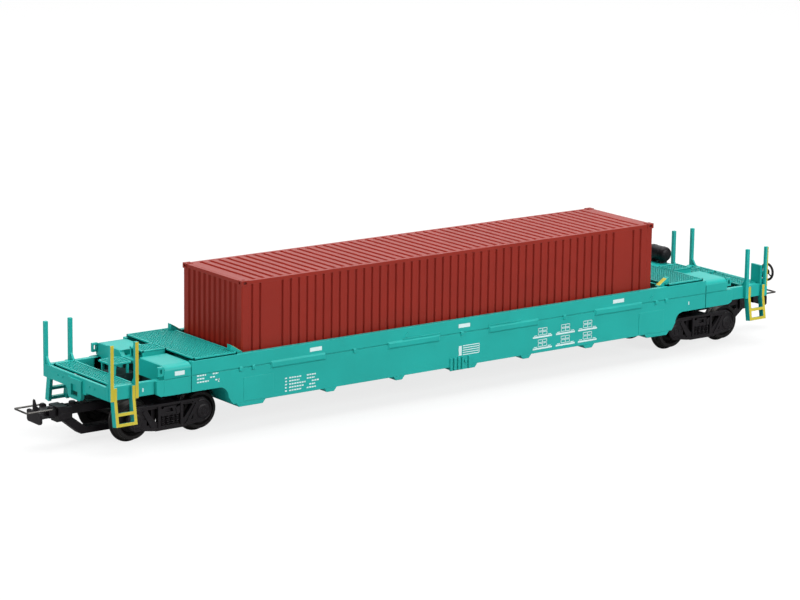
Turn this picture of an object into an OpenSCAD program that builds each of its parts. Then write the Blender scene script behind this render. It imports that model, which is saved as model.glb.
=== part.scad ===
// Scale model of a container well wagon, with one 40 ft container in its well.
// Millimetres. X runs along the wagon, +X is the end with the hand brake.
// Y = 0 is the middle of the track and Z = 0 is the floor that the wheel flanges stand on.
// Every value called a height is measured above the rail head, a flange depth over the floor.

/* [Container] */
// Length of the container
container_l = 140.1; // [110:0.1:180]
// Width of the container
container_w = 28; // [22:0.1:34]
// Height of the container
container_h = 29.8; // [22:0.1:36]
// Thickness of its walls, roof and floor
container_t = 0.9; // [0.6:0.1:1.2]
// Size of a corner casting along the container
casting_l = 2.1; // [1.8:0.1:3]
// Size of a corner casting across the container
casting_w = 1.9; // [1.8:0.1:3]
// Height of a corner casting
casting_h = 1.4; // [1:0.1:2]
// How far the castings stand out from the walls
casting_proud = 0.15; // [0.05:0.05:0.3]
// Place of the container's middle along the wagon: it lies loose in the well
container_x = -0.75; // [-0.9:0.05:0.9]
// Radius of the lock hole in a corner casting
lock_hole_r = 0.7; // [0.6:0.05:0.75]

/* [Well] */
// Gap between the container and each side wall of the well
well_side_gap = 1.1; // [0.4:0.1:2.5]
// Gap between the container and each end wall of the well
well_end_gap = 1.1; // [0.4:0.1:3]
// Thickness of the side walls
side_t = 1.4; // [1:0.1:2]
// Thickness of the end walls of the well
bulkhead_t = 1.5; // [1:0.1:2]
// Height of the top edge of the side walls
side_top = 20; // [18:0.1:24]
// Height of the bottom edge of the side walls
side_bottom = 7.05; // [6.6:0.05:8]
// Thickness of the well floor
floor_t = 1.55; // [1:0.05:2]
// Depth of the cross-beams under the floor
beam_h = 1.05; // [0.6:0.05:1.5]
// How far the long pockets stand out from the side walls
pocket_proud = 0.5; // [0.2:0.1:0.8]

/* [Ends of the body] */
// Length of the deck over a bogie, from the end wall of the well to the end of the body
deck_l = 23.4; // [22:0.1:30]
// Length of the shoulder at the end of the body
shoulder_l = 8.2; // [6:0.1:9]
// Height of the top of the shoulder
shoulder_top = 19.8; // [19:0.1:20.5]
// Height at which the bevel of the shoulder starts
shoulder_low = 18.6; // [18.2:0.1:19]
// Half width of the channel between the shoulders
channel_half = 4.7; // [4:0.1:6]
// Height of the top of the deck between the shoulders
deck_top = 18.4; // [17.5:0.1:18.4]
// Thickness of the deck
deck_t = 1; // [0.8:0.1:1.2]
// Height of the lower edge of the sides over the bogies
arch_top = 12; // [11.8:0.1:12.4]
// Radius of the corner of that edge
arch_r = 2.9; // [2:0.1:3.5]

/* [End platforms] */
// Length of an end platform, from the end of the body to the face of the end sill
platform_l = 16; // [14:0.1:24]
// Height of the top of the end sill
sill_top = 16.2; // [15.5:0.1:17]
// Height of the bottom of the end sill
sill_bottom = 12.75; // [12.3:0.05:13.5]
// Thickness of the end sill
sill_t = 0.9; // [0.8:0.1:1.5]
// Thickness of the platform's side rails
rail_t = 1.5; // [1:0.1:2]
// How far the side rails are set in from the sides of the body
rail_inset = 1; // [0.5:0.1:1.5]
// Width of the walkway across the end platform
end_walkway_l = 6.1; // [4:0.1:8]
// Width of the walkway beside the container
well_walkway_l = 13.4; // [10:0.1:14]
// Thickness of the walkways
walkway_t = 0.7; // [0.4:0.1:1]
// Gap between the end sill and the walkway behind it
walkway_gap = 1.1; // [0.4:0.1:2]
// Half width of the steps between the walkways
step_half = 3.2; // [2:0.1:3.8]
// Height of the top of the lower step
low_step_top = 18.7; // [18:0.1:19.2]
// Height of the top of the upper step
high_step_top = 20.9; // [20.5:0.1:21.3]
// Half width of the centre sill
centre_half = 3.2; // [2.8:0.1:3.6]
// Height of the bottom of the centre sill
centre_bottom = 10.2; // [10:0.1:10.6]

/* [Posts, ladders and guides] */
// Side of a square handrail post
post_w = 1; // [0.8:0.1:1.4]
// Height of the top of the posts
post_top = 27.3; // [24:0.1:32]
// Distance between the two posts of a pair
post_pitch = 7.3; // [6:0.1:9]
// Height of the foot of a ladder
ladder_foot = 6; // [5:0.1:8]
// Width of a ladder's stiles
stile_w = 0.9; // [0.7:0.1:1.2]
// How far the stiles reach inwards behind the posts' inner faces
stile_deep = 0.8; // [0:0.1:1]
// Angle at which the ladders splay outwards
ladder_splay = 9; // [0:1:12]
// Size of the gusset at the foot of a post
gusset = 1.4; // [0.8:0.1:1.5]
// Length of a container guide along the wagon
guide_l = 3.8; // [3:0.1:5]
// Width of a container guide
guide_w = 1.6; // [1:0.1:2.5]
// Height of a container guide over the walkway
guide_h = 1.7; // [1:0.1:3]
// Length of the bracket that stands out at each corner of the body
bracket_l = 1.7; // [1.2:0.1:2]
// Height of that bracket
bracket_h = 2.4; // [1.8:0.1:2.6]

/* [Brake gear and air tank] */
// Size of the brake housing along the wagon
housing_l = 1.05; // [0.8:0.05:1.05]
// Size of the brake housing across the wagon
housing_w = 4.1; // [3.5:0.1:4.5]
// Height of the top of the brake housing
housing_top = 21.7; // [21.5:0.1:24]
// Radius of the hand wheel
handwheel_r = 2.7; // [2:0.1:3]
// Radius of the air tank
tank_r = 2.2; // [1.6:0.1:2.4]
// Length of the air tank
tank_l = 7.5; // [5:0.1:8]

/* [Bogies and wheels] */
// Distance of a bogie pivot from the end of the body
pivot_inset = 4.9; // [4.5:0.1:5.5]
// Distance between the axles of a bogie
wheelbase = 20.2; // [19.6:0.1:20.8]
// Diameter of a wheel at its tread
wheel_d = 10; // [9.6:0.1:10.7]
// Depth of a wheel flange
flange_h = 0.9; // [0.5:0.1:1.1]
// Distance between the backs of the wheels
back_to_back = 14.4; // [13:0.1:14.6]
// Width of a wheel
wheel_w = 2.8; // [2.4:0.1:2.9]
// Radius of an axle
axle_r = 1; // [0.8:0.1:1.2]
// Radius of the journals at the ends of an axle
journal_r = 0.6; // [0.5:0.05:0.7]
// Clearance of the journals and of the kingpin in their holes
bearing_gap = 0.1; // [0.05:0.05:0.25]
// Thickness of a bogie side frame
frame_t = 1.3; // [1:0.1:1.5]
// Gap between a wheel and the side frame beside it
frame_gap = 0.6; // [0.5:0.1:0.8]
// Length of a side frame past an axle
frame_end = 2.5; // [2:0.1:2.6]
// Height of the top of the side frames
frame_top = 8.8; // [8.6:0.1:9.5]
// Height of the bottom of the side frames
frame_bottom = 1.8; // [1.6:0.1:2.4]
// Half length of the bolster along the wagon
bolster_half = 2.9; // [2.5:0.1:3.2]
// Radius of the kingpin
kingpin_r = 1.2; // [0.8:0.1:1.3]

/* [Couplers] */
// Distance of the coupler's plate from the face of the end sill
coupler_reach = 12.6; // [11:0.1:15]
// Half width of the coupler's plate
plate_half = 3.3; // [2.6:0.1:3.6]
// Half width of the coupler's shank
shank_half = 1.5; // [1:0.1:1.8]
// Height of the loop's pivot
loop_z = 9.3; // [9.1:0.1:9.8]
// Length of the wire loop from its pivot to its bar
loop_l = 7.6; // [6:0.1:9]
// Half width of the wire loop
loop_half = 3.1; // [2.8:0.1:3.4]
// Radius of the loop's wire
loop_r = 0.25; // [0.2:0.05:0.35]

/* [Hidden] */
$fn = 48;

// Each end: its letter and the sign of its X
ENDS = [["a", -1], ["b", 1]];
// Each axle of a bogie: its name and the side of the pivot it is on, away from the well or towards it
AXLES = [["outer", 1], ["inner", -1]];

teal = "#32b2a5";
teal_dark = "#1f8f88";
yellow = "#d2be3c";
black = "#262427";
rust_red = "#91342e";
steel = "#8d8a86";

// Body
body_w = container_w + 2 * (well_side_gap + side_t);
body_half_w = body_w / 2;
inner_half_w = body_half_w - side_t;
well_half = container_l / 2 + well_end_gap;
bulkhead_out = well_half + bulkhead_t;
body_half = bulkhead_out + deck_l;
shoulder_start = body_half - shoulder_l;
floor_top = side_bottom + floor_t;
arch_start = bulkhead_out + 5.2;
// Cross-beams: the middle one, then pairs, each with the place of its middle and its width
end_beam_w = 9.2;
BEAMS = [[0, 9.6], [0.3 * well_half, 3.8], [0.61 * well_half, 4.1], [bulkhead_out - end_beam_w / 2, end_beam_w]];
// Long pockets on the sides: place of each as a share of the well, and their common length
POCKETS = [-0.77, -0.24, 0.24, 0.77];
pocket_l = 17.6;
pocket_low = 14.9;
pocket_high = 16.9;

// End platforms
sill_face = body_half + platform_l;
rail_out = body_half_w - rail_inset;
rail_in = rail_out - rail_t;
rail_top = sill_top + 0.1;
post_out = rail_out + post_w;
outer_post_x = sill_face - 0.64;
inner_post_x = outer_post_x - post_pitch;
end_walkway_out = sill_face - sill_t - walkway_gap;
walkway_low = sill_top + 0.2 - walkway_t;
well_walkway_out = well_half + 2.4 + well_walkway_l;

// Bogies
pivot_x = body_half - pivot_inset;
wheel_r = wheel_d / 2;
axle_x = wheelbase / 2;
wheel_out = back_to_back / 2 + wheel_w;
frame_in = wheel_out + frame_gap;
frame_out = frame_in + frame_t;
bolster_top = centre_bottom - 0.3;
bolster_bottom = 5.6;
journal_end = frame_in + 0.8;
shank_low = 6.9;
shank_high = 9.1;
plate_x = sill_face + coupler_reach;
plate_t = 0.8;
loop_x = plate_x - 4;
plate_low = 5.7;
plate_high = 8.8;
carrier_low = 5.3;
stay_low = 1.2;

// Container
wall_out_x = container_l / 2 - casting_proud;
wall_out_y = container_w / 2 - casting_proud;
container_top = floor_top + container_h;
floor_rise = 0.5;
roof_drop = 0.15;
rod_r = 0.2;

// Puts parts that are drawn above the rail head at their place above the floor
module on_rails() { translate([0, 0, flange_h]) children(); }

// Draws an end's part at its own end: parts of an end are drawn for +X
module at_end(side) { on_rails() if (side > 0) children(); else mirror([1, 0, 0]) children(); }

// Draws a part on the right, which is -Y, and again on the left
module both_sides() { children(); mirror([0, 1, 0]) children(); }

// A box between two corners
module box(low, high) { translate(low) cube(high - low); }

// An outline drawn in X and Z, made solid from Y = y0 to Y = y1
module slab_xz(y0, y1) { translate([0, y1, 0]) rotate([90, 0, 0]) linear_extrude(y1 - y0) children(); }

// An outline drawn in Y and Z, made solid from X = x0 to X = x1
module slab_yz(x0, x1) { translate([x0, 0, 0]) rotate([90, 0, 90]) linear_extrude(x1 - x0) children(); }

// ---- Body ----

module side_outline() {
    difference() {
        union() {
            translate([-body_half, side_bottom]) square([2 * body_half, shoulder_low - side_bottom]);
            translate([-shoulder_start, side_bottom]) square([2 * shoulder_start, side_top - side_bottom]);
        }
        for (s = [-1, 1]) scale([s, 1]) {
            translate([arch_start, 0]) square([2 * deck_l, arch_top]);
            translate([arch_start, arch_top - arch_r]) circle(arch_r);
            polygon([[bulkhead_out - 0.4, 5], [bulkhead_out + 0.3, 6],
                [arch_start - arch_r, arch_top - arch_r], [arch_start, arch_top - arch_r], [arch_start, 5]]);
        }
    }
}

// The wall on the right side, with its four pockets
module side_wall() {
    slab_xz(-body_half_w, -inner_half_w) side_outline();
    for (place = POCKETS) translate([place * well_half, 0, 0])
        slab_yz(-pocket_l / 2, pocket_l / 2)
            polygon([[-body_half_w, pocket_low], [-body_half_w - pocket_proud, pocket_low + pocket_proud],
                [-body_half_w - pocket_proud, pocket_high - 0.2], [-body_half_w, pocket_high]]);
}

module side_wall_right() { color(teal) on_rails() side_wall(); }
module side_wall_left() { color(teal) on_rails() mirror([0, 1, 0]) side_wall(); }

// Floor of the well, open between its cross-beams
module well_floor() {
    edge = 3.2;
    color(teal_dark) on_rails() {
        difference() {
            box([-well_half, -inner_half_w, side_bottom], [well_half, inner_half_w, floor_top]);
            for (s = [-1, 1], i = [0 : len(BEAMS) - 2])
                scale([s, 1, 1])
                    box([BEAMS[i][0] + BEAMS[i][1] / 2 + 1, -inner_half_w + edge, side_bottom - 1],
                        [BEAMS[i + 1][0] - BEAMS[i + 1][1] / 2 - 1, inner_half_w - edge, floor_top + 1]);
        }
        for (beam = BEAMS, s = beam[0] == 0 ? [1] : [-1, 1])
            translate([s * beam[0], 0, 0])
                box([-beam[1] / 2, -body_half_w, side_bottom - beam_h], [beam[1] / 2, body_half_w, side_bottom]);
    }
}

// End wall of the well, deck over the bogie and the two shoulders at the end of the body
module end_deck() {
    skirt_t = 1.2;
    bevel = shoulder_top - shoulder_low;
    box([well_half, -inner_half_w, side_bottom], [bulkhead_out, inner_half_w, side_top]);
    box([bulkhead_out, -inner_half_w, deck_top - deck_t], [body_half, inner_half_w, deck_top]);
    box([body_half - skirt_t, centre_half, sill_bottom], [body_half, inner_half_w, deck_top]);
    box([body_half - skirt_t, -inner_half_w, sill_bottom], [body_half, -centre_half, deck_top]);
    both_sides() slab_yz(shoulder_start, body_half)
        polygon([[-channel_half, deck_top], [-inner_half_w, deck_top], [-inner_half_w, shoulder_low],
            [-body_half_w, shoulder_low], [-body_half_w + 0.25, shoulder_low + 0.45 * bevel],
            [-body_half_w + 1.3 * bevel, shoulder_top], [-channel_half, shoulder_top]]);
}

// Box girder along the middle, from the end wall of the well to the end sill, with its cross bolster
module centre_sill() {
    box([bulkhead_out, -centre_half, centre_bottom], [body_half, centre_half, deck_top - deck_t]);
    box([body_half, -centre_half, centre_bottom], [sill_face - sill_t, centre_half, walkway_low]);
    both_sides() box([pivot_x - 3, -inner_half_w, arch_top], [pivot_x + 3, -centre_half, deck_top - deck_t]);
}

module end_sill() {
    pocket_half = centre_half;
    difference() {
        union() {
            box([sill_face - sill_t, -rail_in, sill_bottom], [sill_face, rail_in, sill_top]);
            box([sill_face - sill_t, -pocket_half, centre_bottom], [sill_face + 0.6, pocket_half, sill_top]);
        }
        box([sill_face - 0.3, -1.6, centre_bottom + 0.9], [sill_face + 1, 1.6, sill_bottom + 1.3]);
    }
}

module platform_rails() {
    both_sides() box([body_half, -rail_out, sill_bottom], [sill_face, -rail_in, rail_top]);
}

// Walkway across the end platform, between its side rails
module end_walkway() {
    box([end_walkway_out - end_walkway_l, -rail_in, walkway_low],
        [end_walkway_out, rail_in, walkway_low + walkway_t]);
}

// Walkway beside the container, on the tops of the side walls
module well_walkway() {
    box([well_walkway_out - well_walkway_l, -body_half_w + 0.4, side_top],
        [well_walkway_out, body_half_w - 0.4, side_top + walkway_t]);
}

// Two steps up the middle, from the end walkway to the walkway beside the container
module steps() {
    low_in = body_half + 1.2;
    low_out = end_walkway_out - end_walkway_l - 0.3;
    box([low_in, -step_half, low_step_top - 0.5], [low_out, step_half, low_step_top]);
    both_sides() box([low_in, -step_half, walkway_low], [low_out, -step_half + 0.6, low_step_top - 0.5]);
    box([well_walkway_out, -step_half, high_step_top - 0.5], [body_half - 2, step_half, high_step_top]);
    both_sides()
        box([well_walkway_out + 0.4, -step_half, deck_top], [body_half - 2, -step_half + 0.6, high_step_top - 0.5]);
}

// Handrail posts with their gussets, on the outsides of the platform's side rails
module posts() {
    both_sides() for (x = [inner_post_x, outer_post_x]) {
        box([x - post_w / 2, -post_out, sill_bottom], [x + post_w / 2, -rail_out, post_top]);
        slab_yz(x - post_w / 2 + 0.2, x + post_w / 2 - 0.2)
            polygon([[-rail_out - 0.1, rail_top], [-rail_out + gusset, rail_top], [-rail_out - 0.1, rail_top + gusset]]);
    }
}

// A ladder frame between the posts of each pair, hinged out at its foot by the splay
module ladders() {
    low = sill_bottom - ladder_foot;
    x0 = inner_post_x + post_w / 2;
    x1 = outer_post_x - post_w / 2;
    both_sides() {
        box([x0, -post_out, sill_bottom], [x0 + stile_w, -rail_out, sill_top]);
        box([x1 - stile_w, -post_out, sill_bottom], [x1, -rail_out, sill_top]);
        translate([0, -rail_out, sill_bottom]) rotate([-ladder_splay, 0, 0]) {
            box([x0, -post_w, -low], [x0 + stile_w, stile_deep, 0]);
            box([x1 - stile_w, -post_w, -low], [x1, stile_deep, 0]);
            for (z = [-low, -low + 2.7]) box([x0, -post_w, z], [x1, 0, z + 0.8]);
        }
    }
}

// Ramps at the corners of the well, in front of the container's corners
module container_guides() {
    x0 = well_half - 0.1;
    both_sides() slab_xz(-inner_half_w + 0.2, -inner_half_w + 0.2 + guide_w)
        polygon([[x0, side_top], [x0 + guide_l - 1.5, side_top], [x0 + guide_l - 1.5, side_top + walkway_t],
            [x0 + guide_l, side_top + walkway_t], [x0 + guide_l, side_top + walkway_t + guide_h]]);
}

// Upright brackets with an eye, on the end of the body
module corner_brackets() {
    both_sides() slab_xz(-body_half_w + 0.2, -body_half_w + 1)
        translate([body_half, shoulder_top - 0.1 - bracket_h]) difference() {
            square([bracket_l, bracket_h]);
            translate([0.5, 0.6]) square([bracket_l - 1, bracket_h - 1.2]);
        }
}

// Kingpin, a screw from below through the bogie's bolster
module kingpin() {
    translate([pivot_x, 0, 0]) {
        translate([0, 0, bolster_bottom - 1.1]) cylinder(h = 0.8, r = kingpin_r + 1);
        translate([0, 0, bolster_bottom - 0.3]) cylinder(h = centre_bottom - bolster_bottom + 0.3, r = kingpin_r);
    }
}

// ---- Brake gear and air tank, at the +X end ----

housing_x = end_walkway_out;
housing_y = -rail_out + 0.1;
shaft_x = housing_x + housing_l;
shaft_y = housing_y + 1.2;
shaft_z = housing_top - 2.5;
shaft_l = 2.4;

module brake_housing() {
    color(teal) on_rails() {
        box([housing_x, housing_y, rail_top], [shaft_x, housing_y + housing_w, housing_top]);
        translate([shaft_x, shaft_y, shaft_z]) rotate([0, 90, 0]) cylinder(h = shaft_l, r = 0.5);
    }
}

module hand_wheel() {
    rim_r = 0.4;
    color(black) on_rails()
        translate([shaft_x + shaft_l, shaft_y, shaft_z]) rotate([0, 90, 0]) {
            cylinder(h = 0.8, r = 0.7);
            translate([0, 0, 0.4]) {
                rotate_extrude() translate([handwheel_r - rim_r, 0]) circle(rim_r, $fn = 16);
                for (a = [0, 120, 240]) rotate([0, 90, a]) translate([0, 0, 0.4])
                    cylinder(h = handwheel_r - rim_r - 0.4, r = 0.22, $fn = 16);
            }
        }
}

// Air tank across the wagon, on two saddles on the left shoulder
module air_tank() {
    x = body_half - 1.5;
    y = channel_half + 3.3;
    z = shoulder_top + 0.5 + tank_r;
    color(black) on_rails() {
        translate([x, y, z]) rotate([-90, 0, 0]) rotate_extrude()
            polygon([[0, 0], [tank_r - 0.6, 0], [tank_r, 0.6], [tank_r, tank_l - 0.6], [tank_r - 0.6, tank_l],
                [0, tank_l]]);
        for (dy = [1.2, tank_l - 2]) difference() {
            box([x - 1.4, y + dy, shoulder_top], [x + 1.4, y + dy + 0.8, z - 1]);
            translate([x, y + dy - 1, z]) rotate([-90, 0, 0]) cylinder(h = 3, r = tank_r - 0.01);
        }
    }
}

// ---- Bogies ----

// Side frame outline about the pivot, with its spring window and two openings
module side_frame_outline() {
    difference() {
        polygon([[-axle_x - 0.6, frame_top], [-axle_x - 2, 7.6], [-axle_x - frame_end, 6.2], [-axle_x - frame_end, 4.4],
            [-axle_x - 0.8, 2.7], [-4.6, frame_bottom], [4.6, frame_bottom], [axle_x + 0.8, 2.7],
            [axle_x + frame_end, 4.4], [axle_x + frame_end, 6.2], [axle_x + 2, 7.6], [axle_x + 0.6, frame_top]]);
        translate([-3, 2.9]) square([6, 5.2]);
        for (s = [-1, 1]) polygon([[s * 3.8, 7.8], [s * 6.7, 7.7], [s * 4.2, 4.1], [s * 3.8, 4.1]]);
    }
}

module bogie_frame() {
    spring_w = 0.8;
    translate([pivot_x, 0, 0]) difference() {
        union() {
            both_sides() slab_xz(-frame_out, -frame_in) side_frame_outline();
            box([-bolster_half, -frame_in - spring_w, bolster_bottom], [bolster_half, frame_in + spring_w, frame_top]);
            translate([0, 0, frame_top]) cylinder(h = bolster_top - frame_top, r = bolster_half - 0.1);
            both_sides() box([-bolster_half, -frame_in - spring_w, 2.6], [bolster_half, -frame_in - 0.1, bolster_bottom]);
        }
        translate([0, 0, bolster_bottom - 1]) cylinder(h = 6, r = kingpin_r + bearing_gap);
        for (s = [-1, 1]) translate([s * axle_x, 0, wheel_r]) rotate([90, 0, 0])
            cylinder(h = 2 * journal_end + 0.3, r = journal_r + bearing_gap, center = true);
    }
}

// Axle with its two wheels, about its own middle
module wheelset() {
    back = back_to_back / 2;
    hub_r = axle_r + 0.9;
    rim_in = wheel_r - 1;
    half = [[0, 0], [axle_r, back - 0.3], [hub_r, back - 0.3], [hub_r, back + 0.8], [rim_in, back + 0.8],
        [rim_in, back], [wheel_r + flange_h - 0.3, back], [wheel_r + flange_h, back + 0.3],
        [wheel_r + flange_h - 0.3, back + 0.65], [wheel_r, back + 0.85], [wheel_r - 0.1, back + wheel_w],
        [rim_in, back + wheel_w], [rim_in, back + wheel_w - 0.9], [hub_r, back + wheel_w - 0.9],
        [hub_r, back + wheel_w], [axle_r, back + wheel_w], [axle_r, back + wheel_w + 0.3],
        [journal_r, back + wheel_w + 0.3], [journal_r, journal_end], [0, journal_end]];
    count = len(half) - 1;
    color(black) rotate([90, 0, 0]) rotate_extrude()
        polygon(concat([for (i = [1 : count]) half[i]], [for (i = [count : -1 : 1]) [half[i][0], -half[i][1]]]));
}

module wheelset_at(side, axle) {
    translate([side * (pivot_x + axle * axle_x), 0, wheel_r + flange_h]) wheelset();
}

// Coupler arm on the bogie: shank with a stay under it that passes below the axle, carrier, plate and upright hook,
// with ears for the loop
module coupler() {
    root = pivot_x + bolster_half;
    slab_xz(-shank_half, shank_half) difference() {
        polygon([[root, stay_low], [sill_face - 0.5, stay_low], [sill_face + 4.6, carrier_low],
            [sill_face + 6.6, carrier_low], [sill_face + 6.6, shank_low], [plate_x - plate_t, shank_low],
            [plate_x - plate_t, shank_high], [root, shank_high]]);
        polygon([[root + 1.6, stay_low + 1.7], [sill_face - 2, stay_low + 1.7], [sill_face + 2, shank_low - 0.9],
            [sill_face + 2, shank_low], [root + 1.6, shank_low]]);
    }
    both_sides() box([sill_face + 2.6, -shank_half - 0.9, carrier_low + 0.3], [sill_face + 6.6, -shank_half, shank_high]);
    box([sill_face + 4, -shank_half - 0.9, shank_high], [sill_face + 7, shank_half + 0.9, shank_high + 0.4]);
    box([plate_x - plate_t, -plate_half, plate_low], [plate_x, plate_half, plate_high]);
    both_sides() box([loop_x - 0.8, -loop_half + loop_r + 0.3, shank_low], [loop_x + 0.8, -shank_half, loop_z + 0.6]);
    slab_xz(-0.4, 0.4)
        polygon([[plate_x - 1.8, shank_high], [plate_x - plate_t, shank_high], [plate_x - plate_t, plate_high],
            [plate_x, plate_high], [plate_x - 0.1, 11.9], [plate_x - 0.5, 11.9], [plate_x - 0.9, 10]]);
}

// Wire loop, its pins in the coupler's ears
module coupler_loop() {
    bar_x = loop_x + loop_l;
    translate([0, 0, loop_z]) {
        both_sides() {
            translate([loop_x, -loop_half, 0]) rotate([0, 90, 0]) cylinder(h = loop_l, r = loop_r, $fn = 16);
            translate([bar_x, -loop_half, 0]) sphere(loop_r, $fn = 16);
            translate([loop_x, -loop_half, 0]) sphere(loop_r, $fn = 16);
            translate([loop_x, -loop_half, 0]) rotate([-90, 0, 0]) cylinder(h = loop_r + 0.3, r = loop_r, $fn = 16);
        }
        translate([bar_x, 0, 0]) rotate([90, 0, 0]) cylinder(h = 2 * loop_half, r = loop_r, center = true, $fn = 16);
    }
}

// ---- Container ----

// Puts the container at its place in the well
module in_well() { on_rails() translate([container_x, 0, 0]) children(); }

// Cuts the four corner posts out of a plate
module without_corners() {
    difference() {
        children();
        for (x = [-1, 1], y = [-1, 1])
            translate([x * (container_l / 2 - casting_l / 2), y * (container_w / 2 - casting_w / 2), 0])
                cube([casting_l, casting_w, 200], center = true);
    }
}

module container_floor() {
    color(rust_red) in_well() without_corners()
        box([-wall_out_x + container_t, -wall_out_y + container_t, floor_top + floor_rise],
            [wall_out_x - container_t, wall_out_y - container_t, floor_top + floor_rise + container_t]);
}

module container_roof() {
    top = container_top - roof_drop;
    color(rust_red) in_well() without_corners()
        box([-wall_out_x + container_t, -wall_out_y + container_t, top - container_t],
            [wall_out_x - container_t, wall_out_y - container_t, top]);
}

// Long wall on the right, between the corner posts
module container_side() {
    box([-container_l / 2 + casting_l, -wall_out_y, floor_top],
        [container_l / 2 - casting_l, -wall_out_y + container_t, container_top - roof_drop]);
}

module container_side_right() { color(rust_red) in_well() container_side(); }
module container_side_left() { color(rust_red) in_well() mirror([0, 1, 0]) container_side(); }

// Closed end wall, at the -X end
module container_front() {
    half = container_w / 2 - casting_w;
    color(rust_red) in_well()
        box([-wall_out_x, -half, floor_top], [-wall_out_x + container_t, half, container_top - roof_drop]);
}

// Two door leaves between a header and a sill, at the +X end
module container_doors() {
    half = container_w / 2 - casting_w;
    band = 1.2;
    top = container_top - roof_drop;
    color(rust_red) in_well() {
        both_sides() box([wall_out_x - container_t, -half, floor_top + band], [wall_out_x - 0.2, -0.1, top - band]);
        box([wall_out_x - container_t, -half, floor_top], [wall_out_x, half, floor_top + band]);
        box([wall_out_x - container_t, -half, top - band], [wall_out_x, half, top]);
    }
}

// Two lock rods on each door leaf
module door_lock_rods() {
    color(steel) in_well() for (y = [-9, -4, 4, 9])
        translate([wall_out_x - 0.2 + rod_r, y * container_w / 28, floor_top + 1.2])
            cylinder(h = container_h - roof_drop - 2.4, r = rod_r, $fn = 16);
}

// Corner posts with a casting at each end and a lock hole in each top casting
module container_corner_posts() {
    color(rust_red) in_well() for (x = [-1, 1], y = [-1, 1]) scale([x, y, 1]) difference() {
        union() {
            box([container_l / 2 - casting_l, container_w / 2 - casting_w, floor_top],
                [container_l / 2, container_w / 2, floor_top + casting_h]);
            box([container_l / 2 - casting_l, container_w / 2 - casting_w, floor_top + casting_h],
                [wall_out_x, wall_out_y, container_top - casting_h]);
            box([container_l / 2 - casting_l, container_w / 2 - casting_w, container_top - casting_h],
                [container_l / 2, container_w / 2, container_top]);
        }
        translate([container_l / 2 - casting_l / 2, container_w / 2 - casting_w / 2, container_top - 0.9])
            cylinder(h = 2, r = lock_hole_r);
    }
}

// ---- Nodes ----

side_wall_left();
side_wall_right();
well_floor();
for (e = ENDS) {
    color(teal) at_end(e[1]) end_deck();
    color(teal_dark) at_end(e[1]) centre_sill();
    color(teal) at_end(e[1]) end_sill();
    color(teal) at_end(e[1]) platform_rails();
    color(teal) at_end(e[1]) end_walkway();
    color(teal) at_end(e[1]) well_walkway();
    color(teal) at_end(e[1]) steps();
    color(teal) at_end(e[1]) posts();
    color(yellow) at_end(e[1]) ladders();
    color(yellow) at_end(e[1]) container_guides();
    color(teal) at_end(e[1]) corner_brackets();
    color(steel) at_end(e[1]) kingpin();
    color(black) at_end(e[1]) bogie_frame();
    color(black) at_end(e[1]) coupler();
    color(steel) at_end(e[1]) coupler_loop();
    for (a = AXLES)
        wheelset_at(e[1], a[1]);
}
brake_housing();
hand_wheel();
air_tank();
container_floor();
container_side_left();
container_side_right();
container_front();
container_doors();
container_roof();
container_corner_posts();
door_lock_rods();
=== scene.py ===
"""Looks for the container well wagon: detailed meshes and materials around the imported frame.

Shapes are drawn in millimetres with heights above the rail head, as the part's source has them.
X runs along the wagon (+X is the hand brake's end), and the right side is -Y. What repeats at both
ends is drawn at +X, and what repeats at both sides is drawn on the right.
"""

import math

import bmesh
import bpy
from mathutils import Matrix, Vector
from mathutils.geometry import tessellate_polygon


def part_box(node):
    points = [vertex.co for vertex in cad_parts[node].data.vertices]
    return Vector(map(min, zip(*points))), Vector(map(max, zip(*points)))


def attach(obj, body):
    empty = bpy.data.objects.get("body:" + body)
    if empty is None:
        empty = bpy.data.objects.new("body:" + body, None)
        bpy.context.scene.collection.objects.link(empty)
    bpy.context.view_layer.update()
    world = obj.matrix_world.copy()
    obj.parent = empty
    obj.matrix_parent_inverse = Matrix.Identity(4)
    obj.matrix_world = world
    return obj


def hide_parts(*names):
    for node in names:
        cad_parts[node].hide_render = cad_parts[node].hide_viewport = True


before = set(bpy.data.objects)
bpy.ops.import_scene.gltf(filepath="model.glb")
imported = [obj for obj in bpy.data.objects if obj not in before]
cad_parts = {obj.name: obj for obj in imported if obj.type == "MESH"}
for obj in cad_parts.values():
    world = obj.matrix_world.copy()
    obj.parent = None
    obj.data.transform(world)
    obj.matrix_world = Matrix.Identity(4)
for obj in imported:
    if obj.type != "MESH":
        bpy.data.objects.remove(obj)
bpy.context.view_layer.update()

MM = 0.001
FLANGE = 0.9  # the rail head is a wheel flange above the floor
ENDS = (("a", -1), ("b", 1))  # letter and direction of each end


def corners(node):
    """Lowest and highest corners of a CAD node, in millimetres above the rail head."""
    low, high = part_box(node)
    lift = Vector((0, 0, FLANGE))
    return low / MM - lift, high / MM - lift


# Sizes taken from the frame
WALL_LOW, WALL_HIGH = corners("side_wall_right")
CTR_LOW, CTR_HIGH = corners("container_corner_posts")
SILL_LOW, SILL_HIGH = corners("end_sill_b")
WALK_LOW, WALK_HIGH = corners("well_walkway_b")
ENDWALK_LOW, ENDWALK_HIGH = corners("end_walkway_b")
STEP_LOW, STEP_HIGH = corners("steps_b")
POST_LOW, POST_HIGH = corners("posts_b")
GUIDE_LOW, GUIDE_HIGH = corners("container_guides_b")
BRACKET_LOW, BRACKET_HIGH = corners("corner_brackets_b")
HOUSING_LOW, HOUSING_HIGH = corners("brake_housing")
HAND_LOW, HAND_HIGH = corners("hand_wheel")
TANK_LOW, TANK_HIGH = corners("air_tank")
COUPLER_LOW, COUPLER_HIGH = corners("coupler_b")
WHEEL_LOW, WHEEL_HIGH = corners("wheelset_b_outer")
INNER_LOW, INNER_HIGH = corners("wheelset_b_inner")
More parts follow.
